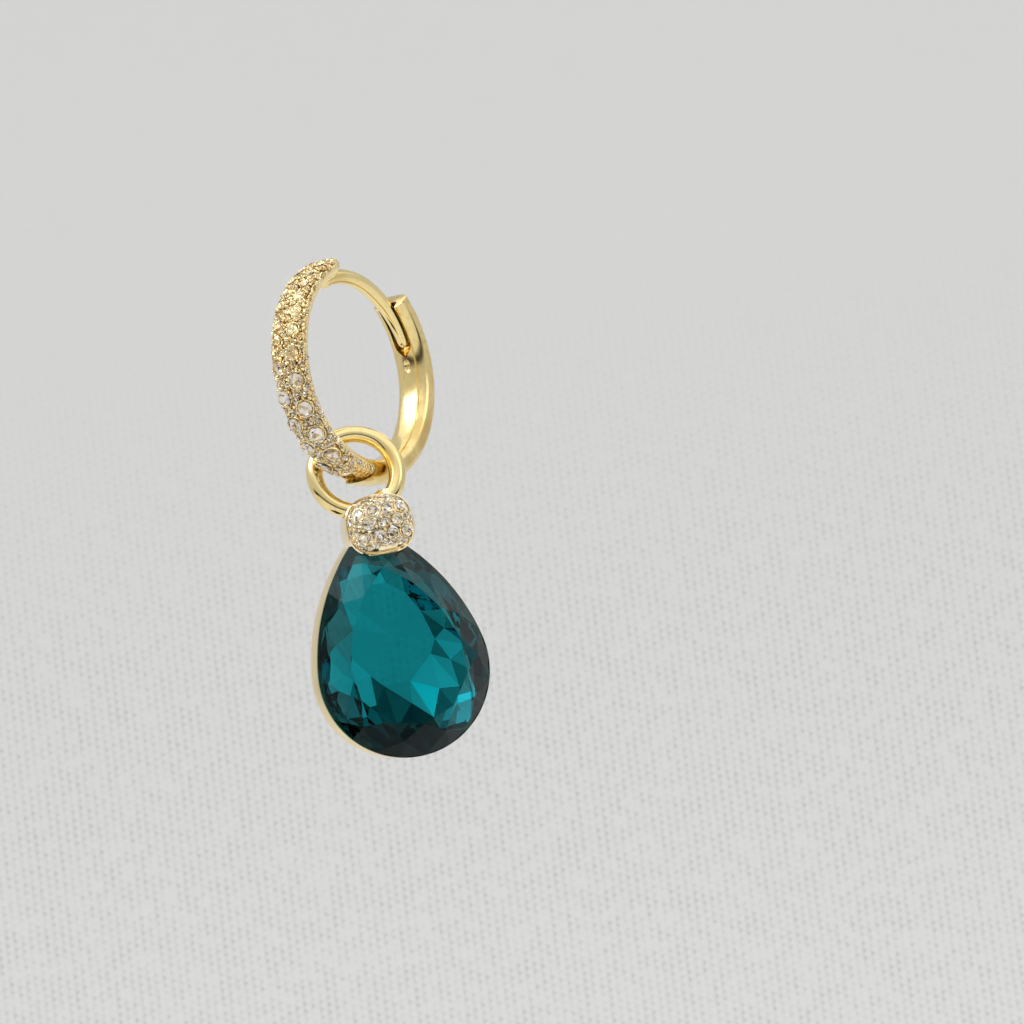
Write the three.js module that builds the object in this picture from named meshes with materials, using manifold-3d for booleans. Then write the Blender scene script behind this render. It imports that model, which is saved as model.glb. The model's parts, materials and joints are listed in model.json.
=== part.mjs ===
// A hinged hoop earring with a pear-shaped drop, in millimetres.
// The frame's origin is the centreline of the ear post at its highest point, +Z is up,
// the hoop lies in the YZ plane, its stone-set half at -Y and its plain half at +Y.
// An ear lobe sits on the post; the drop hangs by a round ring from the bottom of the hoop.
import * as THREE from 'three';
import { mergeVertices } from 'three/addons/utils/BufferGeometryUtils.js';
import Module from 'manifold-3d';

const wasm = await Module();
wasm.setup();

// ---------- driving dimensions: the hoop ----------
const BAR_RADIUS = 6.12;          // centre of the bar, from the hoop's centre
const BAR_HALF_WIDTH = 1.08;      // along X
const BAR_INNER_HALF = 0.8;       // from the bar's centre to its inner face
const BAR_OUTER_HALF = 0.57;      // from the bar's centre to its plain outer face, at mid height
const SET_OUTER_HALF = 0.46;      // the same on the stone-set half, under its stones
const OUTER_SWELL = 0.24;         // the outer half is thicker by this share at the hoop's bottom
const INNER_SQUARENESS = 2.7;     // superellipse exponents of the bar's section
const OUTER_SQUARENESS = 2.3;
const FRONT_TOP_ANGLE = 102;      // where the stone-set half ends at the top; 0 is +Y, 90 is +Z
const CATCH_END_ANGLE = 43.5;     // where the plain half ends at the catch
const END_ROUNDING = 0.85;        // radius of the stone-set half's rounded top end

// ---------- the ear post and its catch ----------
const POST_RADIUS = 5.36;         // the wire's centreline, from the hoop's centre
const POST_WIRE_RADIUS = 0.44;
const POST_ROOT_ANGLE = 108;      // soldered into the stone-set half from here
const POST_TIP_ANGLE = 18;
const NOTCH_HALF_WIDTH = 0.56;
const NOTCH_END_ANGLE = 13;
const NOTCH_DEPTH_RADIUS = 6.02;  // the notch's floor, from the hoop's centre

// ---------- the hinge ----------
const HINGE_ANGLE = -106.4;
const HINGE_RADIUS = 5.9;         // the pin's place, from the hoop's centre
const PIN_RADIUS = 0.2;
const PIN_HALF_LENGTH = 0.84;     // it ends inside the knuckles, whose outer sides are closed
const PIN_CLEARANCE = 0.04;
const KNUCKLE_RADIUS = 1.06;      // the round end of the stone-set half
const KNUCKLE_GAP = 0.05;
const TONGUE_RADIUS = 0.5;
const TONGUE_HALF_WIDTH = 0.35;
const NECK_SHARE = 0.92;          // the neck's width, against the tongue's round end
const TONGUE_REACH_ANGLE = 14;    // how far the tongue's neck runs into the plain half
const SLOT_GAP = 0.05;
const NECK_BEND = 8;              // how far the neck's curve turns its top edge inwards
const FAN_LENGTH = 3;             // past everything that the slot cuts
const OPENING_ANGLE = 50;

// ---------- the stones set in the hoop ----------
const PAVE_STONE_RADIUS = 0.37;
const PAVE_TABLE_RADIUS = 0.22;
const PAVE_STONE_HEIGHT = 0.28;
const PAVE_STAND = 0.11;          // how far a stone stands out of the metal
const PAVE_PITCH_ANGLE = 6.7;
const PAVE_FIRST_ANGLE = 107;
const PAVE_LAST_ANGLE = 252;
const PAVE_SIDE_ROW_X = 0.7;      // the two outer rows; a third runs along the middle

// ---------- the drop's ring ----------
const RING_RADIUS = 2.37;
const RING_WIRE_RADIUS = 0.485;
const RING_CENTRE = new THREE.Vector3(0.0, -1.05, -6.12);   // from the hoop's centre
const DROP_TWIST = 43.5;          // the drop's face, turned about Z from -Y towards +X
const RING_LEAN = 12;             // the ring's top leans away from the drop's face

// ---------- the pear-shaped drop, from the ring's centre ----------
const PEAR_CENTRE = [1.36, 0.1, -11.55];   // the centre of the pear's round head
const PEAR_TURN = [6, -9, 1.5];   // degrees about X, Y and Z: how the drop hangs askew on its ring
const HEAD_RADIUS = 4.97;
const SIDE_RADIUS = 12;
const TIP_HEIGHT = 8.6;           // the tip, above the head's centre
const CROWN_HEIGHT = 1.9;
const GIRDLE_HALF = 0.1;
const PAVILION_DEPTH = 3.0;
const MAIN_FACETS = 16;
const TABLE_SCALE = 0.62;
const STAR_SCALE = 0.8;           // where the star and kite facets meet, against the outline
const LOWER_SCALE = 0.34;         // where the pavilion's lower facets end
const FACET_CENTRE_Z = 0.5;       // the point the facets close on, above the head's centre

// ---------- the setting: bezel wall and stone-set cap ----------
const WALL_INSET = 0.03;          // the wall's outer face, inside the stone's outline
const WALL_THICKNESS = 0.5;
const WALL_DEPTH = 2.3;
const STONE_GAP = 0.06;
const CAP_CENTRE = [0.76, 0, -3.35];
const CAP_TURN = [0, -7, 0];
const CAP_HALF_WIDTH = 2.02;
const CAP_HALF_HEIGHT = 1.82;
const CAP_SQUARENESS = 2.5;
const CHANNEL_GAP = 0.05;
const BAIL_RADIUS = 0.76;         // the sleeve behind the cap that the ring runs through
const BAIL_HALF_WIDTH = 0.85;
const CAP_STONE_RADIUS = 0.36;
const CAP_STONE_PITCH = 0.8;
// The cap's profile from its back to its front: how far forward, and its share of the full outline.
const CAP_PROFILE = [
  { forward: -1.1, share: 0 },
  { forward: -1.1, share: 0.78 },
  { forward: -0.85, share: 0.88 },
  { forward: 0.6, share: 0.97 },
  { forward: 1.9, share: 1 },
  { forward: 2.05, share: 0.97 },
  { forward: 2.45, share: 0.82 },
  { forward: 2.75, share: 0.58 },
  { forward: 2.92, share: 0.3 },
  { forward: 2.97, share: 0 },
];

// ---------- fineness ----------
const SECTION_POINTS = 20;
const BAR_STEPS = 72;
const WIRE_SIDES = 12;
const WIRE_STEPS = 44;
const STONE_SIDES = 6;
const OUTLINE_STEPS = 22;
const CAP_STEPS = 24;
const SHORTEST_EDGE = 0.004;
const FAR = 20;

// ---------- solids ----------
const rad = THREE.MathUtils.degToRad;

/** Turns a closed geometry into a solid that can be joined and cut. */
function solid(geometry) {
  const bare = geometry.clone();
  bare.deleteAttribute('normal');
  bare.deleteAttribute('uv');
  const merged = mergeVertices(bare, 1e-4);
  const corners = merged.index.array;
  const faces = [];
  for (let i = 0; i < corners.length; i += 3) {
    const [a, b, c] = corners.subarray(i, i + 3);
    if (a !== b && b !== c && c !== a) faces.push(a, b, c);
  }
  const mesh = new wasm.Mesh({
    numProp: 3,
    vertProperties: new Float32Array(merged.attributes.position.array),
    triVerts: new Uint32Array(faces),
  });
  return new wasm.Manifold(mesh);
}

/** Turns a solid into a named mesh. */
function piece(name, body, material) {
  const { vertProperties, triVerts } = body.simplify(SHORTEST_EDGE).getMesh();
  const geometry = new THREE.BufferGeometry();
  geometry.setAttribute('position', new THREE.BufferAttribute(new Float32Array(vertProperties), 3));
  geometry.setIndex(new THREE.BufferAttribute(new Uint32Array(triVerts), 1));
  geometry.computeVertexNormals();
  const mesh = new THREE.Mesh(geometry, material);
  mesh.name = name;
  return mesh;
}

const joined = (bodies) => bodies.reduce((all, body) => all.add(body));

/** A point in the hoop's plane at an angle from +Y and a distance from the hoop's centre. */
function inPlane(angle, radius) {
  return new THREE.Vector2(Math.cos(rad(angle)), Math.sin(rad(angle))).multiplyScalar(radius);
}

/** A YZ outline extruded along X, between x = -half and x = half. */
function plate(shape, half, curveSegments = 48) {
  const geometry = new THREE.ExtrudeGeometry(shape, { depth: 2 * half, bevelEnabled: false, curveSegments });
  geometry.translate(0, 0, -half);
  const axes = new THREE.Matrix4().makeBasis(
    new THREE.Vector3(0, 1, 0), new THREE.Vector3(0, 0, 1), new THREE.Vector3(1, 0, 0));
  return solid(geometry.applyMatrix4(axes));
}

/** A disc round a point of the YZ plane, as thick as 2 * half along X. */
function disc(centre, radius, half) {
  const shape = new THREE.Shape();
  shape.absarc(centre.x, centre.y, radius, 0, 2 * Math.PI);
  return plate(shape, half, radius > 2 ? 72 : 32);
}

/** Everything between two angles round the X axis. */
function wedge(from, to) {
  const shape = new THREE.Shape();
  shape.absarc(0, 0, FAR, rad(from), rad(to), false);
  shape.lineTo(0, 0);
  return plate(shape, FAR, 12);
}

/** A closed profile of (radius, x) points turned right round the X axis. */
function turned(points, steps) {
  const geometry = new THREE.LatheGeometry([...points, points[0]], steps);
  return solid(geometry.rotateZ(-Math.PI / 2));
}

/** A round wire bent into a full circle about the X axis. */
function wireRing(radius, wireRadius, sides = WIRE_SIDES, steps = WIRE_STEPS) {
  const points = [];
  for (let i = 0; i < sides; i++) {
    const turn = (2 * Math.PI * i) / sides;
    points.push(new THREE.Vector2(radius + wireRadius * Math.cos(turn), wireRadius * Math.sin(turn)));
  }
  return turned(points, steps);
}

// ---------- the hoop's bar ----------
/** The bar's section at a turn round it: x across the bar and r out from the bar's centre. */
function barPoint(turn, outerHalf) {
  const [c, s] = [Math.cos(turn), Math.sin(turn)];
  const power = 2 / (s > 0 ? OUTER_SQUARENESS : INNER_SQUARENESS);
  const half = s > 0 ? outerHalf : BAR_INNER_HALF;
  return {
    x: BAR_HALF_WIDTH * Math.sign(c) * Math.abs(c) ** power,
    r: half * Math.sign(s) * Math.abs(s) ** power,
  };
}

/** How thick the bar's outer half is at an angle, against its thickness at mid height. */
const swell = (angle) => 1 - OUTER_SWELL * Math.sin(rad(angle));

function bar(outerHalf) {
  const points = [];
  for (let i = 0; i < SECTION_POINTS; i++) {
    const { x, r } = barPoint((-2 * Math.PI * i) / SECTION_POINTS, outerHalf);
    points.push(new THREE.Vector2(BAR_RADIUS + r, x));
  }
  return turned(points, BAR_STEPS).warp((point) => {
    const radius = Math.hypot(point[1], point[2]);
    if (radius <= BAR_RADIUS) return;
    const angle = THREE.MathUtils.radToDeg(Math.atan2(point[2], point[1]));
    const share = (BAR_RADIUS + (radius - BAR_RADIUS) * swell(angle)) / radius;
    point[1] *= share;
    point[2] *= share;
  });
}

/** Height and outward slope of the stone-set face at an angle, at a distance x from its middle. */
function setFace(x, angle) {
  const full = SET_OUTER_HALF * swell(angle);
  const share = Math.abs(x) / BAR_HALF_WIDTH;
  const height = full * (1 - share ** OUTER_SQUARENESS) ** (1 / OUTER_SQUARENESS);
  const across = Math.sign(x) * share ** (OUTER_SQUARENESS - 1) / BAR_HALF_WIDTH;
  const out = (height / full) ** (OUTER_SQUARENESS - 1) / full;
  return { height, normal: new THREE.Vector2(across, out).normalize() };
}

/** A small few-sided stone, standing PAVE_STAND out of a face at a point with an outward normal. */
function smallStone(point, normal, radius) {
  const tableRadius = (PAVE_TABLE_RADIUS * radius) / PAVE_STONE_RADIUS;
  const geometry = new THREE.CylinderGeometry(tableRadius, radius, PAVE_STONE_HEIGHT, STONE_SIDES);
  const turn = new THREE.Quaternion().setFromUnitVectors(new THREE.Vector3(0, 1, 0), normal);
  geometry.applyQuaternion(turn);
  const middle = point.clone().addScaledVector(normal, PAVE_STAND - PAVE_STONE_HEIGHT / 2);
  return solid(geometry.translate(middle.x, middle.y, middle.z));
}

/** Three staggered rows of stones along the outside of the bar. */
function hoopStones() {
  const stones = [];
  for (const rowX of [-PAVE_SIDE_ROW_X, 0, PAVE_SIDE_ROW_X]) {
    const start = PAVE_FIRST_ANGLE + (rowX === 0 ? 0 : PAVE_PITCH_ANGLE / 2);
    for (let angle = start; angle <= PAVE_LAST_ANGLE; angle += PAVE_PITCH_ANGLE) {
      const { height, normal } = setFace(rowX, angle);
      const out = inPlane(angle, 1);
      const at = inPlane(angle, BAR_RADIUS + height);
      const facing = new THREE.Vector3(normal.x, normal.y * out.x, normal.y * out.y);
      stones.push(smallStone(new THREE.Vector3(rowX, at.x, at.y), facing, PAVE_STONE_RADIUS));
    }
  }
  return joined(stones);
}

// ---------- the hinge at the bottom of the hoop ----------
const hinge = inPlane(HINGE_ANGLE, HINGE_RADIUS);

/** The tongue that the pin passes through, with its neck into the plain half. */
function tongue() {
  const half = NECK_SHARE * TONGUE_RADIUS;
  const neck = wedge(HINGE_ANGLE, HINGE_ANGLE + TONGUE_REACH_ANGLE)
    .intersect(disc(new THREE.Vector2(), HINGE_RADIUS + half, TONGUE_HALF_WIDTH))
    .subtract(disc(new THREE.Vector2(), HINGE_RADIUS - half, FAR));
  return disc(hinge, TONGUE_RADIUS, TONGUE_HALF_WIDTH).add(neck);
}

/** Everywhere that the tongue passes as the hoop opens: a disc and the fan that its neck sweeps. */
function tongueSweep() {
  const reach = TONGUE_RADIUS + SLOT_GAP;
  const along = HINGE_ANGLE + 90;
  const from = (angle, distance) => hinge.clone().add(inPlane(angle, distance));
  const [closed, open] = [along + NECK_BEND, along - OPENING_ANGLE];
  const fan = new THREE.Shape([
    from(closed + 90, reach),
    from(open - 90, reach),
    from(open - 90, reach).add(inPlane(open, FAN_LENGTH)),
    from((open + closed) / 2, 1.2 * FAN_LENGTH),
    from(closed + 90, reach).add(inPlane(closed, FAN_LENGTH)),
  ]);
  const half = TONGUE_HALF_WIDTH + SLOT_GAP;
  return disc(hinge, reach, half).add(plate(fan, half));
}

// ---------- the two halves of the hoop ----------
function earPost() {
  const wire = wireRing(POST_RADIUS, POST_WIRE_RADIUS).intersect(
    wedge(POST_TIP_ANGLE, POST_ROOT_ANGLE));
  const tip = inPlane(POST_TIP_ANGLE, POST_RADIUS);
  const ball = solid(new THREE.SphereGeometry(POST_WIRE_RADIUS * 0.98, WIRE_SIDES, WIRE_SIDES / 2));
  return wire.add(ball.translate([0, tip.x, tip.y]));
}

function frontHoop() {
  const endCentre = inPlane(FRONT_TOP_ANGLE, BAR_RADIUS);
  const back = inPlane(FRONT_TOP_ANGLE + 90, END_ROUNDING);
  const region = wedge(FRONT_TOP_ANGLE + 6, 360 + HINGE_ANGLE)
    .add(disc(endCentre.add(back), END_ROUNDING * 1.3, FAR))
    .add(disc(hinge, KNUCKLE_RADIUS, FAR));
  return bar(SET_OUTER_HALF)
    .add(hoopStones())
    .intersect(region)
    .add(earPost())
    .subtract(tongueSweep())
    .subtract(disc(hinge, PIN_RADIUS + PIN_CLEARANCE, PIN_HALF_LENGTH + PIN_CLEARANCE));
}

function backHoop() {
  const body = bar(BAR_OUTER_HALF)
    .intersect(wedge(HINGE_ANGLE, CATCH_END_ANGLE))
    .subtract(disc(hinge, KNUCKLE_RADIUS + KNUCKLE_GAP, FAR));
  const notch = disc(new THREE.Vector2(), NOTCH_DEPTH_RADIUS, NOTCH_HALF_WIDTH)
    .intersect(wedge(NOTCH_END_ANGLE, CATCH_END_ANGLE + 10));
  return body
    .subtract(notch)
    .add(tongue())
    .subtract(disc(hinge, PIN_RADIUS + PIN_CLEARANCE, FAR));
}

// ---------- the drop ----------
/** The pear's right half as a curve through (x, z) from the head's bottom to the tip. */
function pearHalf(grow) {
  const [head, side] = [HEAD_RADIUS + grow, SIDE_RADIUS + grow];
  const apart = side - head;
  const sine = (SIDE_RADIUS ** 2 - apart ** 2 - TIP_HEIGHT ** 2) / (2 * TIP_HEIGHT * apart);
  const lean = Math.asin(sine);
  const sideCentre = { x: -apart * Math.cos(lean), z: -apart * sine };
  const tipTurn = Math.acos(-sideCentre.x / side);
  return { head, side, lean, sideCentre, tipTurn };
}

/** A point on the pear's outline: at 0 the head's bottom, at 1 the tip, on the right side. */
function pearPoint(share, grow = 0) {
  const { head, side, lean, sideCentre, tipTurn } = pearHalf(grow);
  const headLength = head * (Math.PI / 2 + lean);
  const sideLength = side * (tipTurn - lean);
  const along = share * (headLength + sideLength);
  if (along <= headLength) {
    const turn = along / head - Math.PI / 2;
    return new THREE.Vector2(head * Math.cos(turn), head * Math.sin(turn));
  }
  const turn = lean + (along - headLength) / side;
  return new THREE.Vector2(sideCentre.x + side * Math.cos(turn), sideCentre.z + side * Math.sin(turn));
}

/** The whole outline as points, anticlockwise seen from the front, from the head's bottom. */
function pearOutline(count, grow = 0) {
  const points = [];
  for (let i = 0; i < count; i++) {
    const share = (2 * i) / count;
    const point = pearPoint(share <= 1 ? share : 2 - share, grow);
    points.push(share <= 1 ? point : point.setX(-point.x));
  }
  return points;
}

/** The cut stone, its table towards -Y, with the head's centre at x = z = 0. */
function pearStone() {
  const outline = pearOutline(2 * MAIN_FACETS);
  const half = Math.cos(Math.PI / MAIN_FACETS);
  const positions = [];
  const faces = [];
  const ring = (indices, scale, y) => indices.map((i) => {
    const point = outline[i];
    const z = FACET_CENTRE_Z + scale * (point.y - FACET_CENTRE_Z);
    positions.push(scale * point.x, y, z);
    return positions.length / 3 - 1;
  });
  const mains = Array.from({ length: MAIN_FACETS }, (_, i) => 2 * i);
  const betweens = mains.map((i) => i + 1);
  const every = outline.map((_, i) => i);
  const crownAt = (scale) => -GIRDLE_HALF - (CROWN_HEIGHT * (1 - scale * half)) / (1 - TABLE_SCALE);
  const pavilionAt = (scale) => GIRDLE_HALF + PAVILION_DEPTH * (1 - scale * half);
  const table = ring(mains, TABLE_SCALE, -GIRDLE_HALF - CROWN_HEIGHT);
  const stars = ring(betweens, STAR_SCALE, crownAt(STAR_SCALE));
  const upper = ring(every, 1, -GIRDLE_HALF);
  const lower = ring(every, 1, GIRDLE_HALF);
  const keel = ring(betweens, LOWER_SCALE, pavilionAt(LOWER_SCALE));
  positions.push(0, GIRDLE_HALF + PAVILION_DEPTH, FACET_CENTRE_Z);
  const culet = positions.length / 3 - 1;
  for (let i = 0; i < MAIN_FACETS; i++) {
    const next = (i + 1) % MAIN_FACETS;
    const [here, middle, there] = [2 * i, 2 * i + 1, 2 * next];
    if (i > 0 && i < MAIN_FACETS - 1) faces.push([table[0], table[i], table[next]]);
    faces.push([table[i], stars[i], table[next]]);
    faces.push([table[i], upper[here], stars[i]], [stars[i], upper[there], table[next]]);
    faces.push([stars[i], upper[here], upper[middle]], [stars[i], upper[middle], upper[there]]);
    faces.push([keel[i], lower[middle], lower[here]], [keel[i], lower[there], lower[middle]]);
    faces.push([culet, keel[i], lower[here]], [culet, lower[there], keel[i]]);
  }
  for (let i = 0; i < outline.length; i++) {
    const next = (i + 1) % outline.length;
    faces.push([upper[i], lower[i], lower[next]], [upper[i], lower[next], upper[next]]);
  }
  const geometry = new THREE.BufferGeometry();
  geometry.setAttribute('position', new THREE.BufferAttribute(new Float32Array(positions), 3));
  geometry.setIndex(faces.flat());
  return solid(geometry);
}

/** The pear outline grown by an amount, from y = from to y = to. */
function pearPrism(grow, from, to) {
  const shape = new THREE.Shape(pearOutline(OUTLINE_STEPS * 2, grow));
  const geometry = new THREE.ExtrudeGeometry(shape, { depth: to - from, bevelEnabled: false });
  return solid(geometry.rotateX(Math.PI / 2).translate(0, to, 0));
}

/** The room that the stone needs in its setting. */
function stoneRoom(stone) {
  const grow = (size) => 1 + STONE_GAP / size;
  return stone.scale([grow(HEAD_RADIUS), grow(CROWN_HEIGHT), grow(HEAD_RADIUS)]);
}

/** How far the cap's outline is from its middle, in the direction of a turn about Y. */
function capReach(turn) {
  const across = Math.abs(Math.cos(turn)) / CAP_HALF_WIDTH;
  const up = Math.abs(Math.sin(turn)) / CAP_HALF_HEIGHT;
  return (across ** CAP_SQUARENESS + up ** CAP_SQUARENESS) ** (-1 / CAP_SQUARENESS);
}

function cap() {
  const points = CAP_PROFILE.map(({ forward, share }) => new THREE.Vector2(share, forward));
  const geometry = new THREE.LatheGeometry(points, CAP_STEPS).rotateX(Math.PI);
  const place = geometry.attributes.position;
  for (let i = 0; i < place.count; i++) {
    const reach = capReach(Math.atan2(place.getZ(i), place.getX(i)));
    place.setXYZ(i, place.getX(i) * reach, place.getY(i), place.getZ(i) * reach);
  }
  return solid(geometry);
}

/** How far forward the cap's face stands at a share of its outline. */
function capFace(share) {
  for (let i = CAP_PROFILE.length - 1; i > 0; i--) {
    const [front, behind] = [CAP_PROFILE[i], CAP_PROFILE[i - 1]];
    if (share <= behind.share) {
      return THREE.MathUtils.mapLinear(share, front.share, behind.share, front.forward, behind.forward);
    }
  }
  return CAP_PROFILE.at(-1).forward;
}

/** Rows of stones over the cap's domed face. */
function capStones() {
  const stones = [];
  const at = (x, z) => {
    const share = Math.hypot(x, z) / capReach(Math.atan2(z, x));
    return new THREE.Vector3(x, -capFace(share), z);
  };
  const rowHeight = CAP_STONE_PITCH * Math.sin(Math.PI / 3);
  for (let row = -2; row <= 2; row++) {
    for (let column = -3; column <= 3; column++) {
      const [x, z] = [(column + (row % 2 ? 0.5 : 0)) * CAP_STONE_PITCH, row * rowHeight];
      if (Math.hypot(x, z) / capReach(Math.atan2(z, x)) > 0.86) continue;
      const step = 0.05;
      const [acrossEdge, upEdge] = [at(x + step, z).sub(at(x - step, z)), at(x, z + step).sub(at(x, z - step))];
      stones.push(smallStone(at(x, z), acrossEdge.cross(upEdge).normalize(), CAP_STONE_RADIUS));
    }
  }
  return joined(stones);
}

function dropRing(grow = 0) {
  const ring = wireRing(RING_RADIUS, RING_WIRE_RADIUS + grow);
  return ring.rotate([0, 0, 90]).rotate([-RING_LEAN, 0, 0]);
}

/** Puts the pear's own parts in their place below the ring's centre. */
const hung = (body) => body.rotate(PEAR_TURN).translate(PEAR_CENTRE);

/** The sleeve round the ring's lowest part. */
function bail() {
  const room = wasm.Manifold.cube([2 * BAIL_HALF_WIDTH, 6, 6], true)
    .translate([CAP_CENTRE[0], 0, -RING_RADIUS - 1.5]);
  const sleeve = wireRing(RING_RADIUS, BAIL_RADIUS).rotate([0, 0, 90]).rotate([-RING_LEAN, 0, 0]);
  return sleeve.intersect(room);
}

/** Bezel wall, cap and bail as one soldered solid, from the ring's centre. */
function pearSetting(stone) {
  const room = stoneRoom(stone);
  const wall = pearPrism(-WALL_INSET, 0, WALL_DEPTH)
    .subtract(pearPrism(-WALL_INSET - WALL_THICKNESS, -1, WALL_DEPTH + 1))
    .subtract(room);
  return cap()
    .add(capStones())
    .rotate(CAP_TURN)
    .translate(CAP_CENTRE)
    .add(bail())
    .subtract(hung(room))
    .add(hung(wall))
    .subtract(dropRing(CHANNEL_GAP));
}

// ---------- materials ----------
const polishedGold = new THREE.MeshStandardMaterial({ color: 0xe0b95a, roughness: 0.15, metalness: 1 });
const setGold = new THREE.MeshStandardMaterial({ color: 0xd9bd78, roughness: 0.3, metalness: 1 });
const paleGold = new THREE.MeshStandardMaterial({ color: 0xe6cf9f, roughness: 0.2, metalness: 1 });
const tealGlass = new THREE.MeshStandardMaterial({ color: 0x0b6f78, roughness: 0.05, metalness: 0 });

// ---------- the earring ----------
const stone = pearStone();

const drop = new THREE.Group();
drop.position.copy(RING_CENTRE);
drop.rotation.z = rad(DROP_TWIST);
drop.add(
  piece('drop_ring', dropRing(), polishedGold),
  piece('pear_setting', pearSetting(stone), paleGold),
  piece('pear_stone', hung(stone), tealGlass),
);

const pinShape = new THREE.Shape();
pinShape.absarc(hinge.x, hinge.y, PIN_RADIUS, 0, 2 * Math.PI);

const earring = new THREE.Group();
earring.position.set(0, 0, -POST_RADIUS);
earring.add(
  piece('front_hoop', frontHoop(), setGold),
  piece('back_hoop', backHoop(), polishedGold),
  piece('hinge_pin', plate(pinShape, PIN_HALF_LENGTH, 24), polishedGold),
  drop,
);

export default earring;
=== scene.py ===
# A hinged hoop earring with a pear-shaped drop, dressed for rendering.
# Lengths are in millimetres until a mesh is made; angles round the hoop are in degrees,
# 0 towards +Y and 90 towards +Z, seen from +X.
import json
import math
import random

import bmesh
import bpy
from mathutils import Euler, Matrix, Vector

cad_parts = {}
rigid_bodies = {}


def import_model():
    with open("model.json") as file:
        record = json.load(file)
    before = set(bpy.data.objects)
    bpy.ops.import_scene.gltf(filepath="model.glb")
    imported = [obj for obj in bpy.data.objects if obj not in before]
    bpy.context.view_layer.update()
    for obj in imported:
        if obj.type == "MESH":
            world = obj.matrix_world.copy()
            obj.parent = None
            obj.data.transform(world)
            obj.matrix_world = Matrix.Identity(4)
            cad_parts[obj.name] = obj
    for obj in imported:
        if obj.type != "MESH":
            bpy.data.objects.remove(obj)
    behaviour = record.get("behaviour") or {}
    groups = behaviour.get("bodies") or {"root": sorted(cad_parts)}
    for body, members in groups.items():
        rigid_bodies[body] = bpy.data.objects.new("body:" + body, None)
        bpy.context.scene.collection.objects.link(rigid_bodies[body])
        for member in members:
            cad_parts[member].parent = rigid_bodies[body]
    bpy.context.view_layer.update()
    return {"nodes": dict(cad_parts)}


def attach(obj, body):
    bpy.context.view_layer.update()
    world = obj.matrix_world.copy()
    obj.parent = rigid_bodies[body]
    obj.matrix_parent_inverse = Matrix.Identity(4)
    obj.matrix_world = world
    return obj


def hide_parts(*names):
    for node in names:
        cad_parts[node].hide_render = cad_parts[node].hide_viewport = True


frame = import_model()

MM = 0.001

# ---------- the hoop ----------
HOOP_CENTRE = Vector((0, 0, -5.36))
BAR_RADIUS = 6.12
BAR_HALF_WIDTH = 1.08
BAR_INNER_HALF = 0.8
BAR_OUTER_HALF = 0.57
SET_OUTER_HALF = 0.4
SET_SUNK = 0.22
OUTER_SWELL = 0.24
INNER_SQUARENESS = 2.7
OUTER_SQUARENESS = 2.3
FRONT_TOP_ANGLE = 102
CATCH_END_ANGLE = 43.5
END_ROUNDING = 0.85
POST_RADIUS = 5.36
POST_WIRE_RADIUS = 0.44
POST_ROOT_ANGLE = 112
POST_TIP_ANGLE = 15.5
POST_TAPER_ANGLE = 52
POST_TAPER = 0.26
POST_SINK = 0.16
NOTCH_HALF_WIDTH = 0.56
NOTCH_FLOOR = 6.02
HINGE_ANGLE = -106.4
HINGE_RADIUS = 5.9
KNUCKLE_RADIUS = 1.06
KNUCKLE_GAP = 0.05
TONGUE_RADIUS = 0.5
TONGUE_HALF_WIDTH = 0.35
SLOT_GAP = 0.05
PIN_BORE_RADIUS = 0.24

# ---------- the stones of the hoop ----------
CAP_STONE_RADIUS = 0.38
CAP_STONE_PITCH = 0.8
CAP_SET_LOW = -1.05
STONE_LIFT = 0.17
SEAT_SIDES = 9
RIM_SIDES = 18
RIM_HEIGHT = 0.02
# The main stones grow from the top end towards the hinge: angle, radius.
STONE_GROWTH = ((150, 0.33), (190, 0.53))
PITCH_PER_RADIUS = 27
STONE_FIRST = 109.5
STONE_LAST = 243
ROW_X = 0.54
ROW_END = {1: 233.0, -1: 240.2}
# Radii that fill what the main stones leave, largest first; the smallest are beads.
FILL_RADII = (0.2, 0.16, 0.13, 0.11, 0.09, 0.075)
BEAD_BELOW = 0.14
BEAD_LIFT = 0.15
FILL_SEED = 11
# How near two of them may stand, against the sum of their radii.
FILL_APART = 0.94
# Where they may go: tries, how far across the hoop's bar, and from and to which angle.
HOOP_TRIES = 4000
HOOP_SPREAD = 1.02
HOOP_SPOTS = (STONE_FIRST - 2, STONE_LAST + 7)

# ---------- the drop ----------
RING_CENTRE = HOOP_CENTRE + Vector((0, -1.05, -6.12))
RING_RADIUS = 2.37
RING_WIRE_RADIUS = 0.485
WIRE_SIDES = 36
RING_LEAN = 12
DROP_TWIST = 43.5
PEAR_CENTRE = (1.36, 0.1, -11.55)
PEAR_TURN = (6, -9, 1.5)
HEAD_RADIUS = 4.97
SIDE_RADIUS = 12
TIP_HEIGHT = 8.6
CROWN_HEIGHT = 1.9
GIRDLE_HALF = 0.1
TABLE_SCALE = 0.68
STAR_SCALE = 0.84
FACET_CENTRE_Z = 0.5
MAIN_FACETS = 12
EDGE_POINTS = 5
WALL_INSET = 0.03
WALL_THICKNESS = 0.5
WALL_DEPTH = 2.3
CAP_CENTRE = (0.76, 0, -3.35)
CAP_TURN = (0, -7, 0)
CAP_HALF_WIDTH = 2.02
CAP_HALF_HEIGHT = 1.82
BAIL_RADIUS = 0.76
BAIL_HALF_WIDTH = 0.85
CAP_SQUARENESS = 2.5
CHANNEL_GAP = 0.05

DROP = (
    Matrix.Translation(RING_CENTRE) @ Matrix.Rotation(math.radians(DROP_TWIST), 4, "Z")
)


def turns(count):
    """The angles of so many steps round a full turn, in radians."""
    return [2 * math.pi * i / count for i in range(count)]


def turned(angles):
    """A turn about X, then Y, then Z, in degrees."""
    return Euler([math.radians(a) for a in angles], "XYZ").to_matrix().to_4x4()


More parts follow.
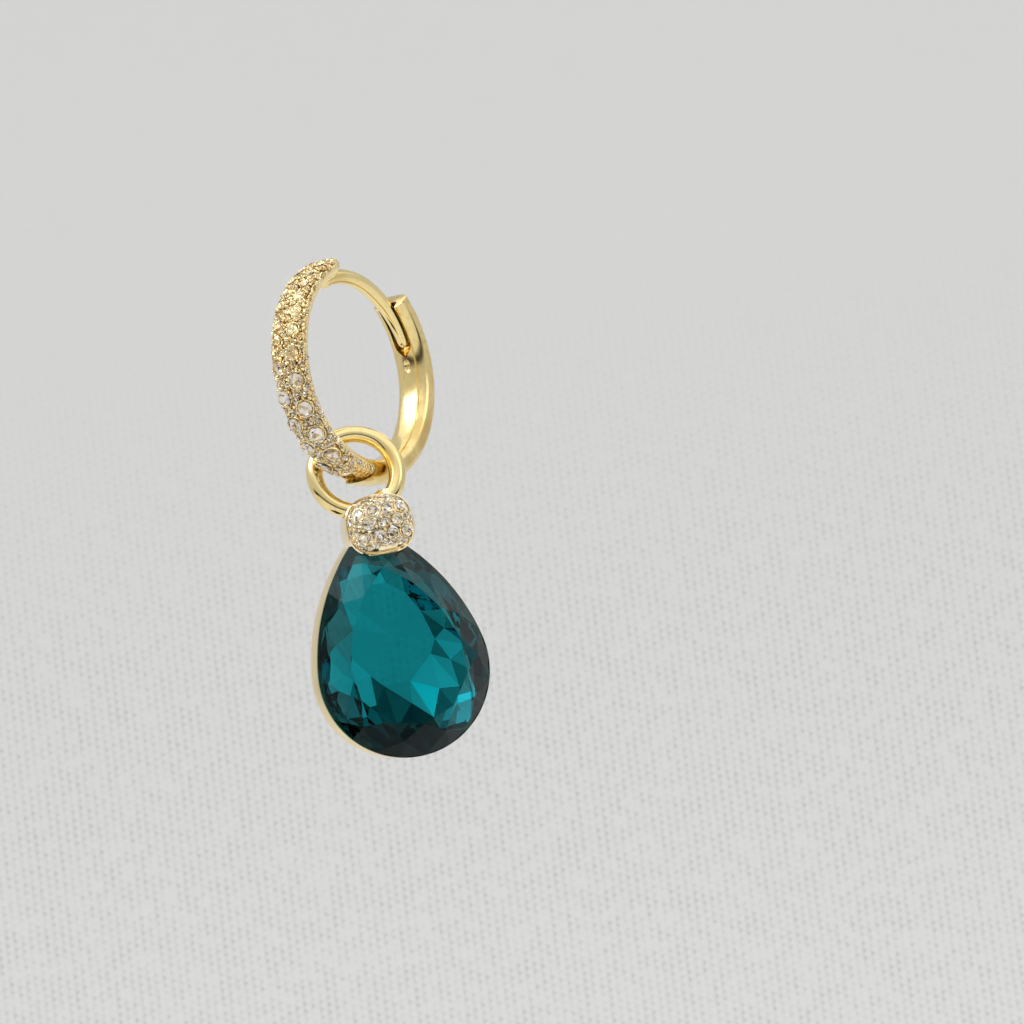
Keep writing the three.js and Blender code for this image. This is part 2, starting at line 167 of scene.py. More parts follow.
PEAR = DROP @ Matrix.Translation(PEAR_CENTRE) @ turned(PEAR_TURN)
CAP = DROP @ Matrix.Translation(CAP_CENTRE) @ turned(CAP_TURN)


# ---------- camera, stage and light ----------
CAMERA_RIGHT = Vector((0.7988, 0.5894, -0.1205))
CAMERA_UP = Vector((0.1863, -0.0519, 0.9811))
CAMERA_BACK = CAMERA_RIGHT.cross(CAMERA_UP).normalized()
CAMERA_DISTANCE = 670.1
FIELD_OF_VIEW = 5
HOOP_IN_FRAME = Vector((353.8, 368.7))
FRAME_SIZE = 1024
SENSOR_WIDTH = 36
STAGE_FLOOR_Z = -200
STAGE_FRONT = -900
STAGE_HALF_WIDTH = 1000
CURVE_START = 400
CURVE_RADIUS = 300
CURVE_STEPS = 24
WALL_TOP = 1200
LAMP_TARGET = Vector((0, 0, -14))
CARD_TARGET = HOOP_CENTRE + Vector((0, 0, -8))
CARD_TONE = (0.01, 0.008, 0.006)


def linked(name, data):
    """An object of the scene for a mesh, a lamp or a camera."""
    thing = bpy.data.objects.new(name, data)
    bpy.context.scene.collection.objects.link(thing)
    return thing


def make_camera():
    """Puts the camera before the hoop and turns it so that the hoop's centre has its place."""
    data = bpy.data.cameras.new("camera")
    camera = linked("camera", data)
    data.sensor_width = SENSOR_WIDTH
    data.angle = math.radians(FIELD_OF_VIEW)
    data.clip_start = 0.01
    data.clip_end = 10
    focal = FRAME_SIZE / 2 / math.tan(math.radians(FIELD_OF_VIEW) / 2)
    offset = HOOP_IN_FRAME - Vector((FRAME_SIZE / 2, FRAME_SIZE / 2))
    aim = Vector((offset.x, -offset.y, -focal)).normalized()
    facing = Matrix((CAMERA_RIGHT, CAMERA_UP, CAMERA_BACK)).transposed()
    turn = aim.rotation_difference(Vector((0, 0, -1))).to_matrix()
    place = HOOP_CENTRE + CAMERA_DISTANCE * CAMERA_BACK
    camera.matrix_world = Matrix.Translation(place * MM) @ (facing @ turn).to_4x4()
    bpy.context.scene.camera = camera


def make_stage(material):
    """A pale sheet: the floor, a wide curve and a wall behind the earring."""
    away = -Vector((CAMERA_BACK.x, CAMERA_BACK.y, 0)).normalized()
    side = Vector((-away.y, away.x, 0))
    profile = [(STAGE_FRONT, STAGE_FLOOR_Z), (CURVE_START, STAGE_FLOOR_Z)]
    for i in range(1, CURVE_STEPS + 1):
        turn = math.radians(90 * i / CURVE_STEPS)
        back = CURVE_START + CURVE_RADIUS * math.sin(turn)
        profile.append((back, STAGE_FLOOR_Z + CURVE_RADIUS * (1 - math.cos(turn))))
    profile.append((CURVE_START + CURVE_RADIUS, WALL_TOP))
    verts = []
    for back, z in profile:
        for across in (-STAGE_HALF_WIDTH, STAGE_HALF_WIDTH):
            verts.append(away * back + side * across + Vector((0, 0, z)))
    faces = [(2 * i, 2 * i + 1, 2 * i + 3, 2 * i + 2) for i in range(len(profile) - 1)]
    backdrop = new_object("backdrop", verts, faces, material)
    backdrop.data.shade_smooth()


def make_light(name, direction, distance, size, power):
    """A soft square lamp that looks at the earring from a direction."""
    data = bpy.data.lights.new(name, "AREA")
    data.size = size * MM
    data.energy = power
    lamp = linked(name, data)
    way = Vector(direction).normalized()
    lamp.location = (LAMP_TARGET + way * distance) * MM
    lamp.rotation_euler = way.to_track_quat("Z", "Y").to_euler()


class Nodes:
    """Short ways to add and join nodes in one tree."""

    def __init__(self, tree):
        self.tree = tree

    def add(self, kind, **settings):
        node = self.tree.nodes.new(kind)
        for name, value in settings.items():
            setattr(node, name, value)
        return node

    def put(self, node, **values):
        """Sets or joins a node's inputs by name, with _ for a space."""
        for name, value in values.items():
            self.feed(node.inputs[name.replace("_", " ")], value)
        return node

    def make(self, kind, **values):
        """A new node's first output; lower-case names are its settings, the others its inputs."""
        settings = {name: value for name, value in values.items() if name.islower()}
        inputs = {name: value for name, value in values.items() if name not in settings}
        return self.put(self.add(kind, **settings), **inputs).outputs[0]

    def join(self, output, socket):
        self.tree.links.new(output, socket)

    def feed(self, socket, value):
        """Gives a socket a plain value, or joins another node's output to it."""
        if isinstance(value, bpy.types.NodeSocket):
            self.join(value, socket)
        elif socket.type == "RGBA":
            socket.default_value = (*value, 1)
        else:
            socket.default_value = value

    def maths(self, operation, first, second=None):
        node = self.add("ShaderNodeMath", operation=operation)
        self.feed(node.inputs[0], first)
        if second is not None:
            self.feed(node.inputs[1], second)
        return node.outputs[0]

    def times(self, first, second):
        return self.maths("MULTIPLY", first, second)

    def vector(self, operation, first, second=None):
        """DOT_PRODUCT and LENGTH give a number, and the rest a vector."""
        node = self.add("ShaderNodeVectorMath", operation=operation)
        self.join(first, node.inputs[0])
        if second is not None:
            self.feed(node.inputs[1], second)
        return node.outputs["Value" if operation in ("DOT_PRODUCT", "LENGTH") else "Vector"]

    def place(self):
        """Where a point of the surface is, in metres."""
        return self.add("ShaderNodeTexCoord").outputs["Object"]

    def split(self, vector):
        """The X, Y and Z of a vector."""
        node = self.add("ShaderNodeSeparateXYZ")
        self.join(vector, node.inputs[0])
        return node.outputs

    def noise(self, place, scale, detail):
        return self.make("ShaderNodeTexNoise", Vector=place, Scale=scale, Detail=detail)

    def wave(self, value, pitch):
        """From -1 to 1 and back over each pitch, in mm."""
        return self.maths("SINE", self.times(value, 2 * math.pi / (pitch * MM)))

    def ramp(self, value, low, high):
        """0 below low, 1 above high, and smooth between."""
        edge = {"From_Min": low, "From_Max": high}
        kind = "ShaderNodeMapRange"
        return self.make(kind, interpolation_type="SMOOTHSTEP", Value=value, **edge)

    def blend(self, share, first, second):
        """first where share is 0 and second where it is 1."""
        node = self.add("ShaderNodeMix", data_type="RGBA")
        for place, value in ((0, share), (6, first), (7, second)):
            self.feed(node.inputs[place], value)
        return node.outputs[2]


WORLD_LIGHT = 0.8
BACKDROP_LIGHT = 0.92
# The dark strip's soft edges: towards the camera, and its height.
STRIP_SIDES = (0.1, 0.35)
STRIP_BOTTOM = (-0.22, -0.18)
STRIP_TOP = (0.0, 0.04)
STRIP_TONE = (0.015, 0.013, 0.012)
SKY_RISE = (0.3, 0.7)
LOW_SKY = (0.8, 0.8, 0.8)
HIGH_SKY = (1.5, 1.5, 1.48)


def make_world():
    """A pale studio with a dark strip behind the camera, which polished metal mirrors."""
    world = bpy.data.worlds.new("studio")
    bpy.context.scene.world = world
    world.use_nodes = True
    world.node_tree.nodes.clear()
    n = Nodes(world.node_tree)
    direction = n.add("ShaderNodeTexCoord").outputs["Generated"]
    z = n.split(direction)["Z"]
    level = Vector((CAMERA_BACK.x, CAMERA_BACK.y, 0)).normalized()
    near = n.ramp(n.vector("DOT_PRODUCT", direction, level), *STRIP_SIDES)
    over = n.ramp(z, *STRIP_BOTTOM)
    under = n.maths("SUBTRACT", 1.0, n.ramp(z, *STRIP_TOP))
    sky = n.blend(n.ramp(z, *SKY_RISE), LOW_SKY, HIGH_SKY)
    room = n.blend(n.times(near, n.times(over, under)), sky, STRIP_TONE)
    seen = n.add("ShaderNodeLightPath").outputs["Is Camera Ray"]
    colour = n.blend(seen, room, (BACKDROP_LIGHT,) * 3)
    background = n.put(n.add("ShaderNodeBackground"), Strength=WORLD_LIGHT)
    n.join(colour, background.inputs["Color"])
    n.put(n.add("ShaderNodeOutputWorld"), Surface=background.outputs[0])


# ---------- materials ----------
GRAIN_SCALE = 5200.0
GRAIN_HEIGHT = 0.035
# Painted shade in the grain's hollows.
GRAIN_PAINTED_SHADE = (0.88, 0.66, 0.33)
GRAIN_EDGE = (0.25, 0.7)
CLOUD_SCALE = 420.0
CLOUD_EDGE = (0.42, 0.68)
WIPE_SCALE = 9000.0
WIPE_STRETCH = (1.0, 0.25, 0.25)
STREAK_EDGE = (0.48, 0.72)
STREAK_SHARE = 0.6
WIPE_EDGE = (0.45, 0.8)
RIPPLE_SCALE = 700.0


def new_material(name):
    """A material, its nodes and its main shader."""
    material = bpy.data.materials.new(name)
    material.use_nodes = True
    return material, Nodes(material.node_tree), material.node_tree.nodes["Principled BSDF"]


def metal_skin_group():
    """What all the gold shares: uneven tone, faint wipe marks and a soft ripple."""
    tree = bpy.data.node_groups.new("metal_skin", "ShaderNodeTree")
    for name, kind in (
        ("Tone", "Color"), ("Deep Tone", "Color"), ("Unevenness", "Float"),
        ("Roughness", "Float"), ("Wipe Marks", "Float"),
    ):
        tree.interface.new_socket(name, in_out="INPUT", socket_type="NodeSocket" + kind)
    for name, kind in (("Color", "Color"), ("Roughness", "Float"), ("Height", "Float")):
        tree.interface.new_socket(name, in_out="OUTPUT", socket_type="NodeSocket" + kind)
    n = Nodes(tree)
    given = n.add("NodeGroupInput").outputs
    made = n.add("NodeGroupOutput")
    place = n.place()
    patch = n.ramp(n.noise(place, CLOUD_SCALE, 3.0), *CLOUD_EDGE)
    squash = n.make("ShaderNodeMapping", Vector=place, Scale=WIPE_STRETCH)
    wipe = n.noise(squash, WIPE_SCALE, 2.0)
    streak = n.times(n.ramp(wipe, *STREAK_EDGE), STREAK_SHARE)
    share = n.times(n.maths("MAXIMUM", patch, streak), given["Unevenness"])
    marks = n.times(n.ramp(wipe, *WIPE_EDGE), given["Wipe Marks"])
    n.put(
        made,
        Color=n.blend(share, given["Tone"], given["Deep Tone"]),
        Roughness=n.maths("ADD", given["Roughness"], marks),
        Height=n.noise(place, RIPPLE_SCALE, 1.0),
    )
    return tree


def gold(name, skin, tone, deep, roughness, marks, ripple, unevenness, grains=None):
    """Gold with the shared skin; grains, two radii of the hoop, is where its grain begins, with
    painted shade in the grain's hollows.
    """
    material, n, shader = new_material(name)
    group = n.add("ShaderNodeGroup", node_tree=skin)
    n.put(group, Tone=tone, Deep_Tone=deep, Unevenness=unevenness)
    n.put(group, Roughness=roughness, Wipe_Marks=marks)
    bump = n.put(n.add("ShaderNodeBump"), Strength=1.0, Distance=ripple * MM)
    n.join(group.outputs["Height"], bump.inputs["Height"])
    colour = group.outputs["Color"]
    if grains:
        place = n.place()
        cells = n.make("ShaderNodeTexVoronoi", Vector=place, Scale=GRAIN_SCALE)
        where = n.vector("SUBTRACT", place, HOOP_CENTRE * MM)
        reach = n.vector("LENGTH", n.vector("MULTIPLY", where, (0, 1, 1)))
        mask = n.ramp(reach, *(k * MM for k in grains))
        shaded_hollow = n.times(n.ramp(cells, *GRAIN_EDGE), mask)
        # Painted shade: the grain's hollows are darkened.
        colour = n.blend(shaded_hollow, colour, GRAIN_PAINTED_SHADE)
        depth = GRAIN_HEIGHT * MM
        n.put(bump, Normal=n.make("ShaderNodeBump", invert=True, Distance=depth, Height=shaded_hollow))
    n.put(shader, Metallic=1, Base_Color=colour, Normal=bump.outputs[0])
    n.join(group.outputs["Roughness"], shader.inputs["Roughness"])
    return material


STONE_CLOUD_SCALE = 600.0
CLEAR_TINT = (1.0, 0.99, 0.98)
# Lower than any glass's, so that the seats show through the small stones.
CLEAR_IOR = 1.38
CLEAR_ROUGHNESS = 0.01
TEAL_IOR = 1.56
TEAL_ROUGHNESS = 0.002
TEAL_GLINT = (0.02, 0.12, 0.14)
TEAL_DEEP = (0.5, 1.0, 0.92)
TEAL_BRIGHT = (0.014, 0.87, 1.0)
TEAL_CLOUD = (0.0, 0.25, 0.3)
TEAL_CLOUD_SHARE = 0.2
# Painted shade: the near black of facets painted dark.
TEAL_PAINTED_SHADE = (0.0, 0.0015, 0.002)
TEAL_BODY = (0.2, 0.69, 0.72)
TEAL_DENSITY = 400


def glass(name, ior, roughness):
    """Clear glass without its colour, and its faint cloud."""
    material, n, shader = new_material(name)
    cloud = n.noise(n.place(), STONE_CLOUD_SCALE, 2.0)
    n.put(shader, Transmission_Weight=1, IOR=ior, Roughness=n.times(cloud, roughness))
    return material, n, shader, cloud


def clear_glass(name):
    material, n, shader, cloud = glass(name, CLEAR_IOR, CLEAR_ROUGHNESS)
    darker = tuple(0.8 * c for c in CLEAR_TINT)
    n.put(shader, Base_Color=n.blend(cloud, CLEAR_TINT, darker))
    return material


def teal_stone(name):
    """Teal glass with painted light and shade: each facet is tinted from near black to bright teal
    by its painted facet light.
    """
    material, n, shader, cloud = glass(name, TEAL_IOR, TEAL_ROUGHNESS)
    # Painted light and shade: each facet's painted brightness, from near black to clear.
    clear = n.add("ShaderNodeAttribute", attribute_name="painted_facet_light").outputs["Fac"]
    colour = n.blend(clear, TEAL_DEEP, TEAL_BRIGHT)
    colour = n.blend(n.times(cloud, TEAL_CLOUD_SHARE), colour, TEAL_CLOUD)
    colour = n.blend(n.times(clear, clear), TEAL_PAINTED_SHADE, colour)
    n.put(shader, Base_Color=colour, Specular_Tint=TEAL_GLINT)
    absorb = n.make("ShaderNodeVolumeAbsorption", Color=TEAL_BODY, Density=TEAL_DENSITY)
    n.put(material.node_tree.nodes["Material Output"], Volume=absorb)
    return material


FOIL_ROUGHNESS = 0.15
# Painted light and shade: which share of the foil's facets is painted dark, as shadow, and which
# dull.
DARK_EDGE = (0.14, 0.24)
DULL_EDGE = (0.36, 0.46)
# The heights between which the hoop's foil turns warm.
WARM_FROM = -7.5
WARM_FULL = -3.5


def foil_material(name, bright_tone, dull_tone, dark_tone, warm=None):
    """Bright-cut metal under the small stones, with painted sparkle and shade: each facet is
    painted bright, dull or dark by chance.
    """
    material, n, shader = new_material(name)
    glitter = n.add("ShaderNodeAttribute", attribute_name="glitter").outputs["Fac"]
    # Painted sparkle and shade: by chance, each facet is painted dark, dull or bright.
    dull = n.blend(n.ramp(glitter, *DARK_EDGE), dark_tone, dull_tone)
    bright = n.blend(n.ramp(glitter, *DULL_EDGE), dull, bright_tone)
    if warm:
        warmth = n.ramp(n.split(n.place())["Z"], WARM_FROM * MM, WARM_FULL * MM)
        bright = n.blend(warmth, bright, n.vector("MULTIPLY", bright, warm))
    n.put(shader, Metallic=1, Roughness=FOIL_ROUGHNESS, Base_Color=bright)
    return material


WEAVE_PITCH = 0.93
WEAVE_SHADE_STRENGTH = 0.4
WEAVE_GRAIN = 700.0
WEAVE_EDGE = (0.2, 0.75)
# The heights between which the weave's painted shade fades out, as if out of focus.
WEAVE_FADE = (55, 115)
SHEET_LIGHT = (0.88, 0.88, 0.88)
SHEET_SOILED = (0.85, 0.85, 0.85)
# Painted shade: the colour of the weave's grooves.
SHEET_GROOVE_SHADE = (0.3, 0.3, 0.3)
SHEET_CLOUD_SCALE = 6.0
SHEET_ROUGHNESS = 0.9


def sheet_material():
    """Pale woven backdrop, plain enough to stay in the background, with painted shade in the
    weave's grooves.
    """
    material, n, shader = new_material("pale_sheet")
    place = n.place()
    plain = n.blend(n.noise(place, SHEET_CLOUD_SCALE, 3.0), SHEET_LIGHT, SHEET_SOILED)
    sideways = Vector((-CAMERA_BACK.y, CAMERA_BACK.x, 0)).normalized()
    across = n.vector("DOT_PRODUCT", place, sideways)
    z = n.split(place)["Z"]
    ribs = n.wave(across, WEAVE_PITCH)
    rows = n.times(n.wave(across, 2 * WEAVE_PITCH), n.wave(z, WEAVE_PITCH))
    grooves = n.maths("ADD", n.times(n.maths("ADD", ribs, rows), 0.25), 0.5)
    sharp = n.maths("SUBTRACT", 1.0, n.ramp(z, *(k * MM for k in WEAVE_FADE)))
    uneven = n.ramp(n.noise(place, WEAVE_GRAIN, 2.0), *WEAVE_EDGE)
    # Painted shade: the weave's grooves are darkened, fading out higher up.
    shaded_hollow = n.times(n.times(grooves, grooves), uneven)
    depth = n.times(n.times(shaded_hollow, sharp), WEAVE_SHADE_STRENGTH)
    n.put(shader, Base_Color=n.blend(depth, plain, SHEET_GROOVE_SHADE), Roughness=SHEET_ROUGHNESS)
    return material


# ---------- meshes ----------
def new_object(name, verts, faces, material=None, edges=()):
    """A mesh object at the origin from millimetre points."""
    mesh = bpy.data.meshes.new(name)
    mesh.from_pydata([Vector(v) * MM for v in verts], edges, faces)
    if material:
        mesh.materials.append(material)
    return linked(name, mesh)


def outward(thing):
    """Points all faces of a closed mesh outwards, in place."""
    shape = bmesh.new()
    shape.from_mesh(thing.data)
    bmesh.ops.remove_doubles(shape, verts=shape.verts, dist=1e-7)
    bmesh.ops.recalc_face_normals(shape, faces=shape.faces)
    shape.to_mesh(thing.data)
    shape.free()
    return thing


def smooth(thing, angle=35):
    """Smooth shading, with edges sharper than the angle left hard."""
    thing.data.shade_smooth()
    thing.data.set_sharp_from_angle(angle=math.radians(angle))
    return thing


def loft(name, rings, material=None, closed=False):
    """Joins rings of points, each with the same count, into one skin with closed ends."""
    count = len(rings[0])
    verts = [point for ring in rings for point in ring]
    faces = []
    last = len(rings) if closed else len(rings) - 1
    for i in range(last):
        a, b = i * count, (i + 1) % len(rings) * count
        for j in range(count):
            k = (j + 1) % count
            faces.append((a + j, a + k, b + k, b + j))
    if not closed:
        faces.append(tuple(reversed(range(count))))
        faces.append(tuple(range((len(rings) - 1) * count, len(rings) * count)))
    return outward(new_object(name, verts, faces, material))


def plate(name, outline, half):
    """A YZ outline, as a list of (y, z) from the hoop's centre, extruded to x = -half and half."""
    rings = [[Vector((x, y, z)) + HOOP_CENTRE for y, z in outline] for x in (-half, half)]
    return loft(name, rings)


def remove(thing):
    """Takes an object and its mesh out of the file."""
    mesh = thing.data
    bpy.data.objects.remove(thing)
    bpy.data.meshes.remove(mesh)


def evaluated(thing):
    """Swaps an object's mesh for the one its modifiers make, and removes the modifiers."""
    bpy.context.view_layer.update()
    graph = bpy.context.evaluated_depsgraph_get()
    mesh = bpy.data.meshes.new_from_object(thing.evaluated_get(graph))
    old = thing.data
    thing.modifiers.clear()
    thing.data = mesh
    bpy.data.meshes.remove(old)
    return thing


def cut(thing, cutter, operation="DIFFERENCE"):
    """A Boolean with a cutter, which it uses up."""
    modifier = thing.modifiers.new("cut", "BOOLEAN")
    modifier.operation = operation
    modifier.solver = "EXACT"
    modifier.object = cutter
    evaluated(thing)
    remove(cutter)
    return thing


def merge(name, *things):
    """One object from several, which keep their faces and materials."""
    whole = bmesh.new()
    materials = []
    for thing in things:
        start = len(whole.faces)
        whole.from_mesh(thing.data)
        whole.faces.ensure_lookup_table()
        slots = []
        for material in thing.data.materials:
            if material not in materials:
                materials.append(material)
            slots.append(materials.index(material))
        for face in whole.faces[start:]:
            face.material_index = slots[min(face.material_index, len(slots) - 1)]
    mesh = bpy.data.meshes.new(name)
    whole.to_mesh(mesh)
    whole.free()
    for material in materials:
        mesh.materials.append(material)
    for thing in things:
        remove(thing)
    return linked(name, mesh)


def flat(angle, radius):
    """A point of the hoop's plane, as (y, z) from its centre."""
    turn = math.radians(angle)
    return Vector((radius * math.cos(turn), radius * math.sin(turn)))


def in_plane(angle, radius, x=0.0):
    """A point round the hoop's centre."""
    return Vector((x, *flat(angle, radius))) + HOOP_CENTRE


# ---------- the bar of the hoop ----------
SECTION_POINTS = 72
ROUNDING_STEPS = 12
FRONT_STEPS = 150
BACK_STEPS = 190
# The front bar runs on to here, and the cut round the knuckle ends it.
FRONT_LAST_ANGLE = 268
SUNK_PAST_STONES = 3.2
SUNK_RAMP = 2
BEYOND_BAR = 9
INSIDE_BAR = 3.5
OPENING = 50
# The tongue reaches the back half a little above its hinge.
TONGUE_RISE = 8
# The slot in the front half: the cut's length along the tongue and in the middle of its turn.
SLOT_LENGTH = 3
SLOT_MIDDLE = 3.6
SLOT_STEPS = 24
# The front half ends at its knuckle, and the cut runs on this far past the hinge.
CUT_PAST_HINGE = 35
KNUCKLE_STEPS = 40
NECK_ANGLE = 14
NECK_STEPS = 6
NECK_HALF_HEIGHT = 0.46
POST_SIDES = 32
POST_STEPS = 90
TIP_STEPS = 10


def swell(angle):
    """How thick the bar's outer half is at an angle, against its thickness at mid height."""
    return 1 - OUTER_SWELL * math.sin(math.radians(angle))


def bar_section(outer_half, shrink=1.0, narrow=1.0):
    """The bar's section as (x, distance out from its centre)."""
    points = []
    for turn in turns(SECTION_POINTS):
        c, s = math.cos(turn), math.sin(turn)
        power = 2 / (OUTER_SQUARENESS if s > 0 else INNER_SQUARENESS)
        half = outer_half if s > 0 else BAR_INNER_HALF
        x = BAR_HALF_WIDTH * narrow * math.copysign(abs(c) ** power, c)
        points.append((x, half * shrink * math.copysign(abs(s) ** power, s)))
    return points


def bar(name, stations, material):
    """stations: (angle, outer half, shrink, narrow)."""
    rings = []
    for angle, outer_half, shrink, narrow in stations:
        section = bar_section(outer_half * swell(angle), shrink, narrow)
        rings.append([in_plane(angle, BAR_RADIUS + out, x) for x, out in section])
    return loft(name, rings, material)


def front_bar(material):
    """The stone-set half's bar: rounded at the top, sunk where its stones stand."""
    stations = []
    rounding = math.degrees(END_ROUNDING / BAR_RADIUS)
    for i in range(ROUNDING_STEPS):
        turn = math.radians(90 * (i + 0.35) / ROUNDING_STEPS)
        angle = FRONT_TOP_ANGLE + rounding * (1 - math.cos(turn))
        stations.append((angle, SET_OUTER_HALF, math.sin(turn), 0.6 + 0.4 * math.sin(turn)))
    top = FRONT_TOP_ANGLE + rounding
    for i in range(1, FRONT_STEPS + 1):
        angle = top + (FRONT_LAST_ANGLE - top) * i / FRONT_STEPS
        begun = min(1, max(0, (angle - top) / SUNK_RAMP))
        left = min(1, max(0, (STONE_LAST + SUNK_PAST_STONES - angle) / SUNK_RAMP))
        stations.append((angle, SET_OUTER_HALF - SET_SUNK * (begun * left), 1, 1))
    body = bar("front_bar", stations, material)
    hinge = flat(HINGE_ANGLE, HINGE_RADIUS)
    outline = []
    for i in range(KNUCKLE_STEPS + 1):
        outline.append(hinge + flat(HINGE_ANGLE + 180 * i / KNUCKLE_STEPS, KNUCKLE_RADIUS))
    past = HINGE_ANGLE + CUT_PAST_HINGE
    outline += [flat(HINGE_ANGLE, INSIDE_BAR), flat(past, INSIDE_BAR)]
    outline += [flat(past, BEYOND_BAR), flat(HINGE_ANGLE, BEYOND_BAR)]
    cut(body, plate("beyond_knuckle", outline, 2))
    cut(body, tongue_slot())
    return body


def circle_plate(name, centre, radius, half, count):
    """A round plate across the bar."""
    return plate(name, [centre + flat(360 * i / count, radius) for i in range(count)], half)


def tongue_slot():
    """The slot that lets the tongue turn as the hoop opens."""
    hinge = flat(HINGE_ANGLE, HINGE_RADIUS)
    reach = TONGUE_RADIUS + SLOT_GAP
    along = HINGE_ANGLE + 90
    closed, opened = along + TONGUE_RISE, along - OPENING
    round_back = 180 - TONGUE_RISE - OPENING
    outline = []
    for i in range(SLOT_STEPS + 1):
        outline.append(hinge + flat(closed + 90 + round_back * i / SLOT_STEPS, reach))
    outline += [
        hinge + flat(opened - 90, reach) + flat(opened, SLOT_LENGTH),
        hinge + flat((opened + closed) / 2, SLOT_MIDDLE),
        hinge + flat(closed + 90, reach) + flat(closed, SLOT_LENGTH),
    ]
    return plate("tongue_slot", outline, TONGUE_HALF_WIDTH + SLOT_GAP)


def ear_post(material):
    """The round wire over the lobe, rounded at its tip."""
    rings = []
    tip = math.degrees(POST_WIRE_RADIUS / POST_RADIUS)
    stations = []
    for i in range(1, TIP_STEPS):
        turn = math.radians(90 * i / TIP_STEPS)
        stations.append((POST_TIP_ANGLE + tip * (1 - math.cos(turn)), math.sin(turn)))
    length = POST_ROOT_ANGLE - POST_TIP_ANGLE - tip
    for i in range(POST_STEPS + 1):
        stations.append((POST_TIP_ANGLE + tip + length * i / POST_STEPS, 1))
    for angle, share in stations:
        into = max(0, (POST_TAPER_ANGLE - angle) / (POST_TAPER_ANGLE - POST_TIP_ANGLE))
        reach = POST_WIRE_RADIUS * share * (1 - POST_TAPER * into)
        middle = POST_RADIUS + POST_SINK * into
        rings.append([
            in_plane(angle, middle + reach * math.cos(turn), reach * math.sin(turn))
            for turn in turns(POST_SIDES)
        ])
    return loft("ear_post", rings, material)


def back_bar(material):
    """The plain half: a polished bar with its catch notch and hinge tongue."""
    first, last = HINGE_ANGLE, CATCH_END_ANGLE
    angles = [first + (last - first) * i / BACK_STEPS for i in range(BACK_STEPS)]
    stations = [(angle, BAR_OUTER_HALF, 1, 1) for angle in angles]
    for angle, share in ((last - 0.12, 0.985), (last, 0.93)):
        stations.append((angle, BAR_OUTER_HALF, share, 0.5 + 0.5 * share))
    body = bar("back_bar", stations, material)
    hinge = flat(HINGE_ANGLE, HINGE_RADIUS)
    cut(body, circle_plate("knuckle_room", hinge, KNUCKLE_RADIUS + KNUCKLE_GAP, 2, count=96))
    cut(body, notch_cutter())
    cut(body, dimple_cutter())
    disc = circle_plate("tongue", hinge, TONGUE_RADIUS, TONGUE_HALF_WIDTH, count=48)
    angles = [HINGE_ANGLE + NECK_ANGLE * i / NECK_STEPS for i in range(NECK_STEPS + 1)]
    neck = [flat(angle, HINGE_RADIUS + NECK_HALF_HEIGHT) for angle in angles]
    neck += [flat(angle, HINGE_RADIUS - NECK_HALF_HEIGHT) for angle in reversed(angles)]
    cut(disc, plate("neck", neck, TONGUE_HALF_WIDTH), "UNION")
    cut(disc, circle_plate("pin_bore", hinge, PIN_BORE_RADIUS, 1, count=24))
    disc.data.materials.append(material)
    return merge("hoop_back", smooth(body), smooth(disc))


# The notch from the catch's end down: angle, half width, radius of its floor.
NOTCH = (
    (52, NOTCH_HALF_WIDTH, NOTCH_FLOOR), (30, NOTCH_HALF_WIDTH, NOTCH_FLOOR),
    (18, NOTCH_HALF_WIDTH, NOTCH_FLOOR), (15.5, 0.5, 5.98), (13.5, 0.36, 5.8),
    (11.5, 0.2, 5.55), (9.6, 0.08, 5.3),
)
NOTCH_OPEN_TO = 4
NOTCH_CORNER = 0.12


def notch_cutter():
    """The catch's notch: parallel sides, then a V that runs out."""
    rings = []
    for angle, half, floor in NOTCH:
        corner = min(NOTCH_CORNER, half * 0.6)
        side = [(half, NOTCH_OPEN_TO), (half, floor - corner), (half - corner, floor)]
        section = [(-half, NOTCH_OPEN_TO)] + side + [(-x, r) for x, r in side[:0:-1]]
        rings.append([in_plane(angle, r, x) for x, r in section])
    return loft("notch", rings)


DIMPLE_ANGLE = 4.5
DIMPLE_REACH = 4.5
DIMPLE_HALF_WIDTH = 0.26
DIMPLE_DEPTH = 0.2
DIMPLE_RADIUS = 5.26
DIMPLE_SIDES = 20
DIMPLE_STEPS = 12


def dimple_cutter():
    """A small long dimple on the inside of the back half, below the notch."""
    rings = []
    for i in range(1, DIMPLE_STEPS):
        lift = math.radians(180 * i / DIMPLE_STEPS)
        angle = DIMPLE_ANGLE + DIMPLE_REACH * math.cos(lift)
        wide, deep = DIMPLE_HALF_WIDTH * math.sin(lift), DIMPLE_DEPTH * math.sin(lift)
        rings.append([
            in_plane(angle, DIMPLE_RADIUS + deep * math.sin(turn), wide * math.cos(turn))
            for turn in turns(DIMPLE_SIDES)
        ])
    return loft("dimple", rings)


def make_card(direction, distance, size):
    """A dark card that polished metal mirrors and the camera doesn't see."""
    way = Vector(direction).normalized()
    turn = way.to_track_quat("Z", "Y").to_matrix()
    half_x, half_y = size[0] / 2, size[1] / 2
    corners = ((-half_x, -half_y), (half_x, -half_y), (half_x, half_y), (-half_x, half_y))
    middle = CARD_TARGET + way * distance
    material, n, shader = new_material("dark_card")
    n.put(shader, Base_Color=CARD_TONE, Specular_IOR_Level=0)
    verts = [middle + turn @ Vector((x, y, 0)) for x, y in corners]
    card = new_object("dark_card", verts, [(0, 1, 2, 3)], material)
    card.visible_camera = False
    card.visible_transmission = False
    card.visible_diffuse = False


# ---------- stones and beads ----------
def points_object(name, rows):
    """Bare points in millimetres, each with the way it faces and its size."""
    thing = new_object(name, [point for point, facing, size in rows], [])
    kinds = thing.data.attributes
    kinds.new("facing", "FLOAT_VECTOR", "POINT")
    kinds.new("size", "FLOAT", "POINT")
    for i, (point, way, share) in enumerate(rows):
        kinds["facing"].data[i].vector = way
        kinds["size"].data[i].value = share
    return thing


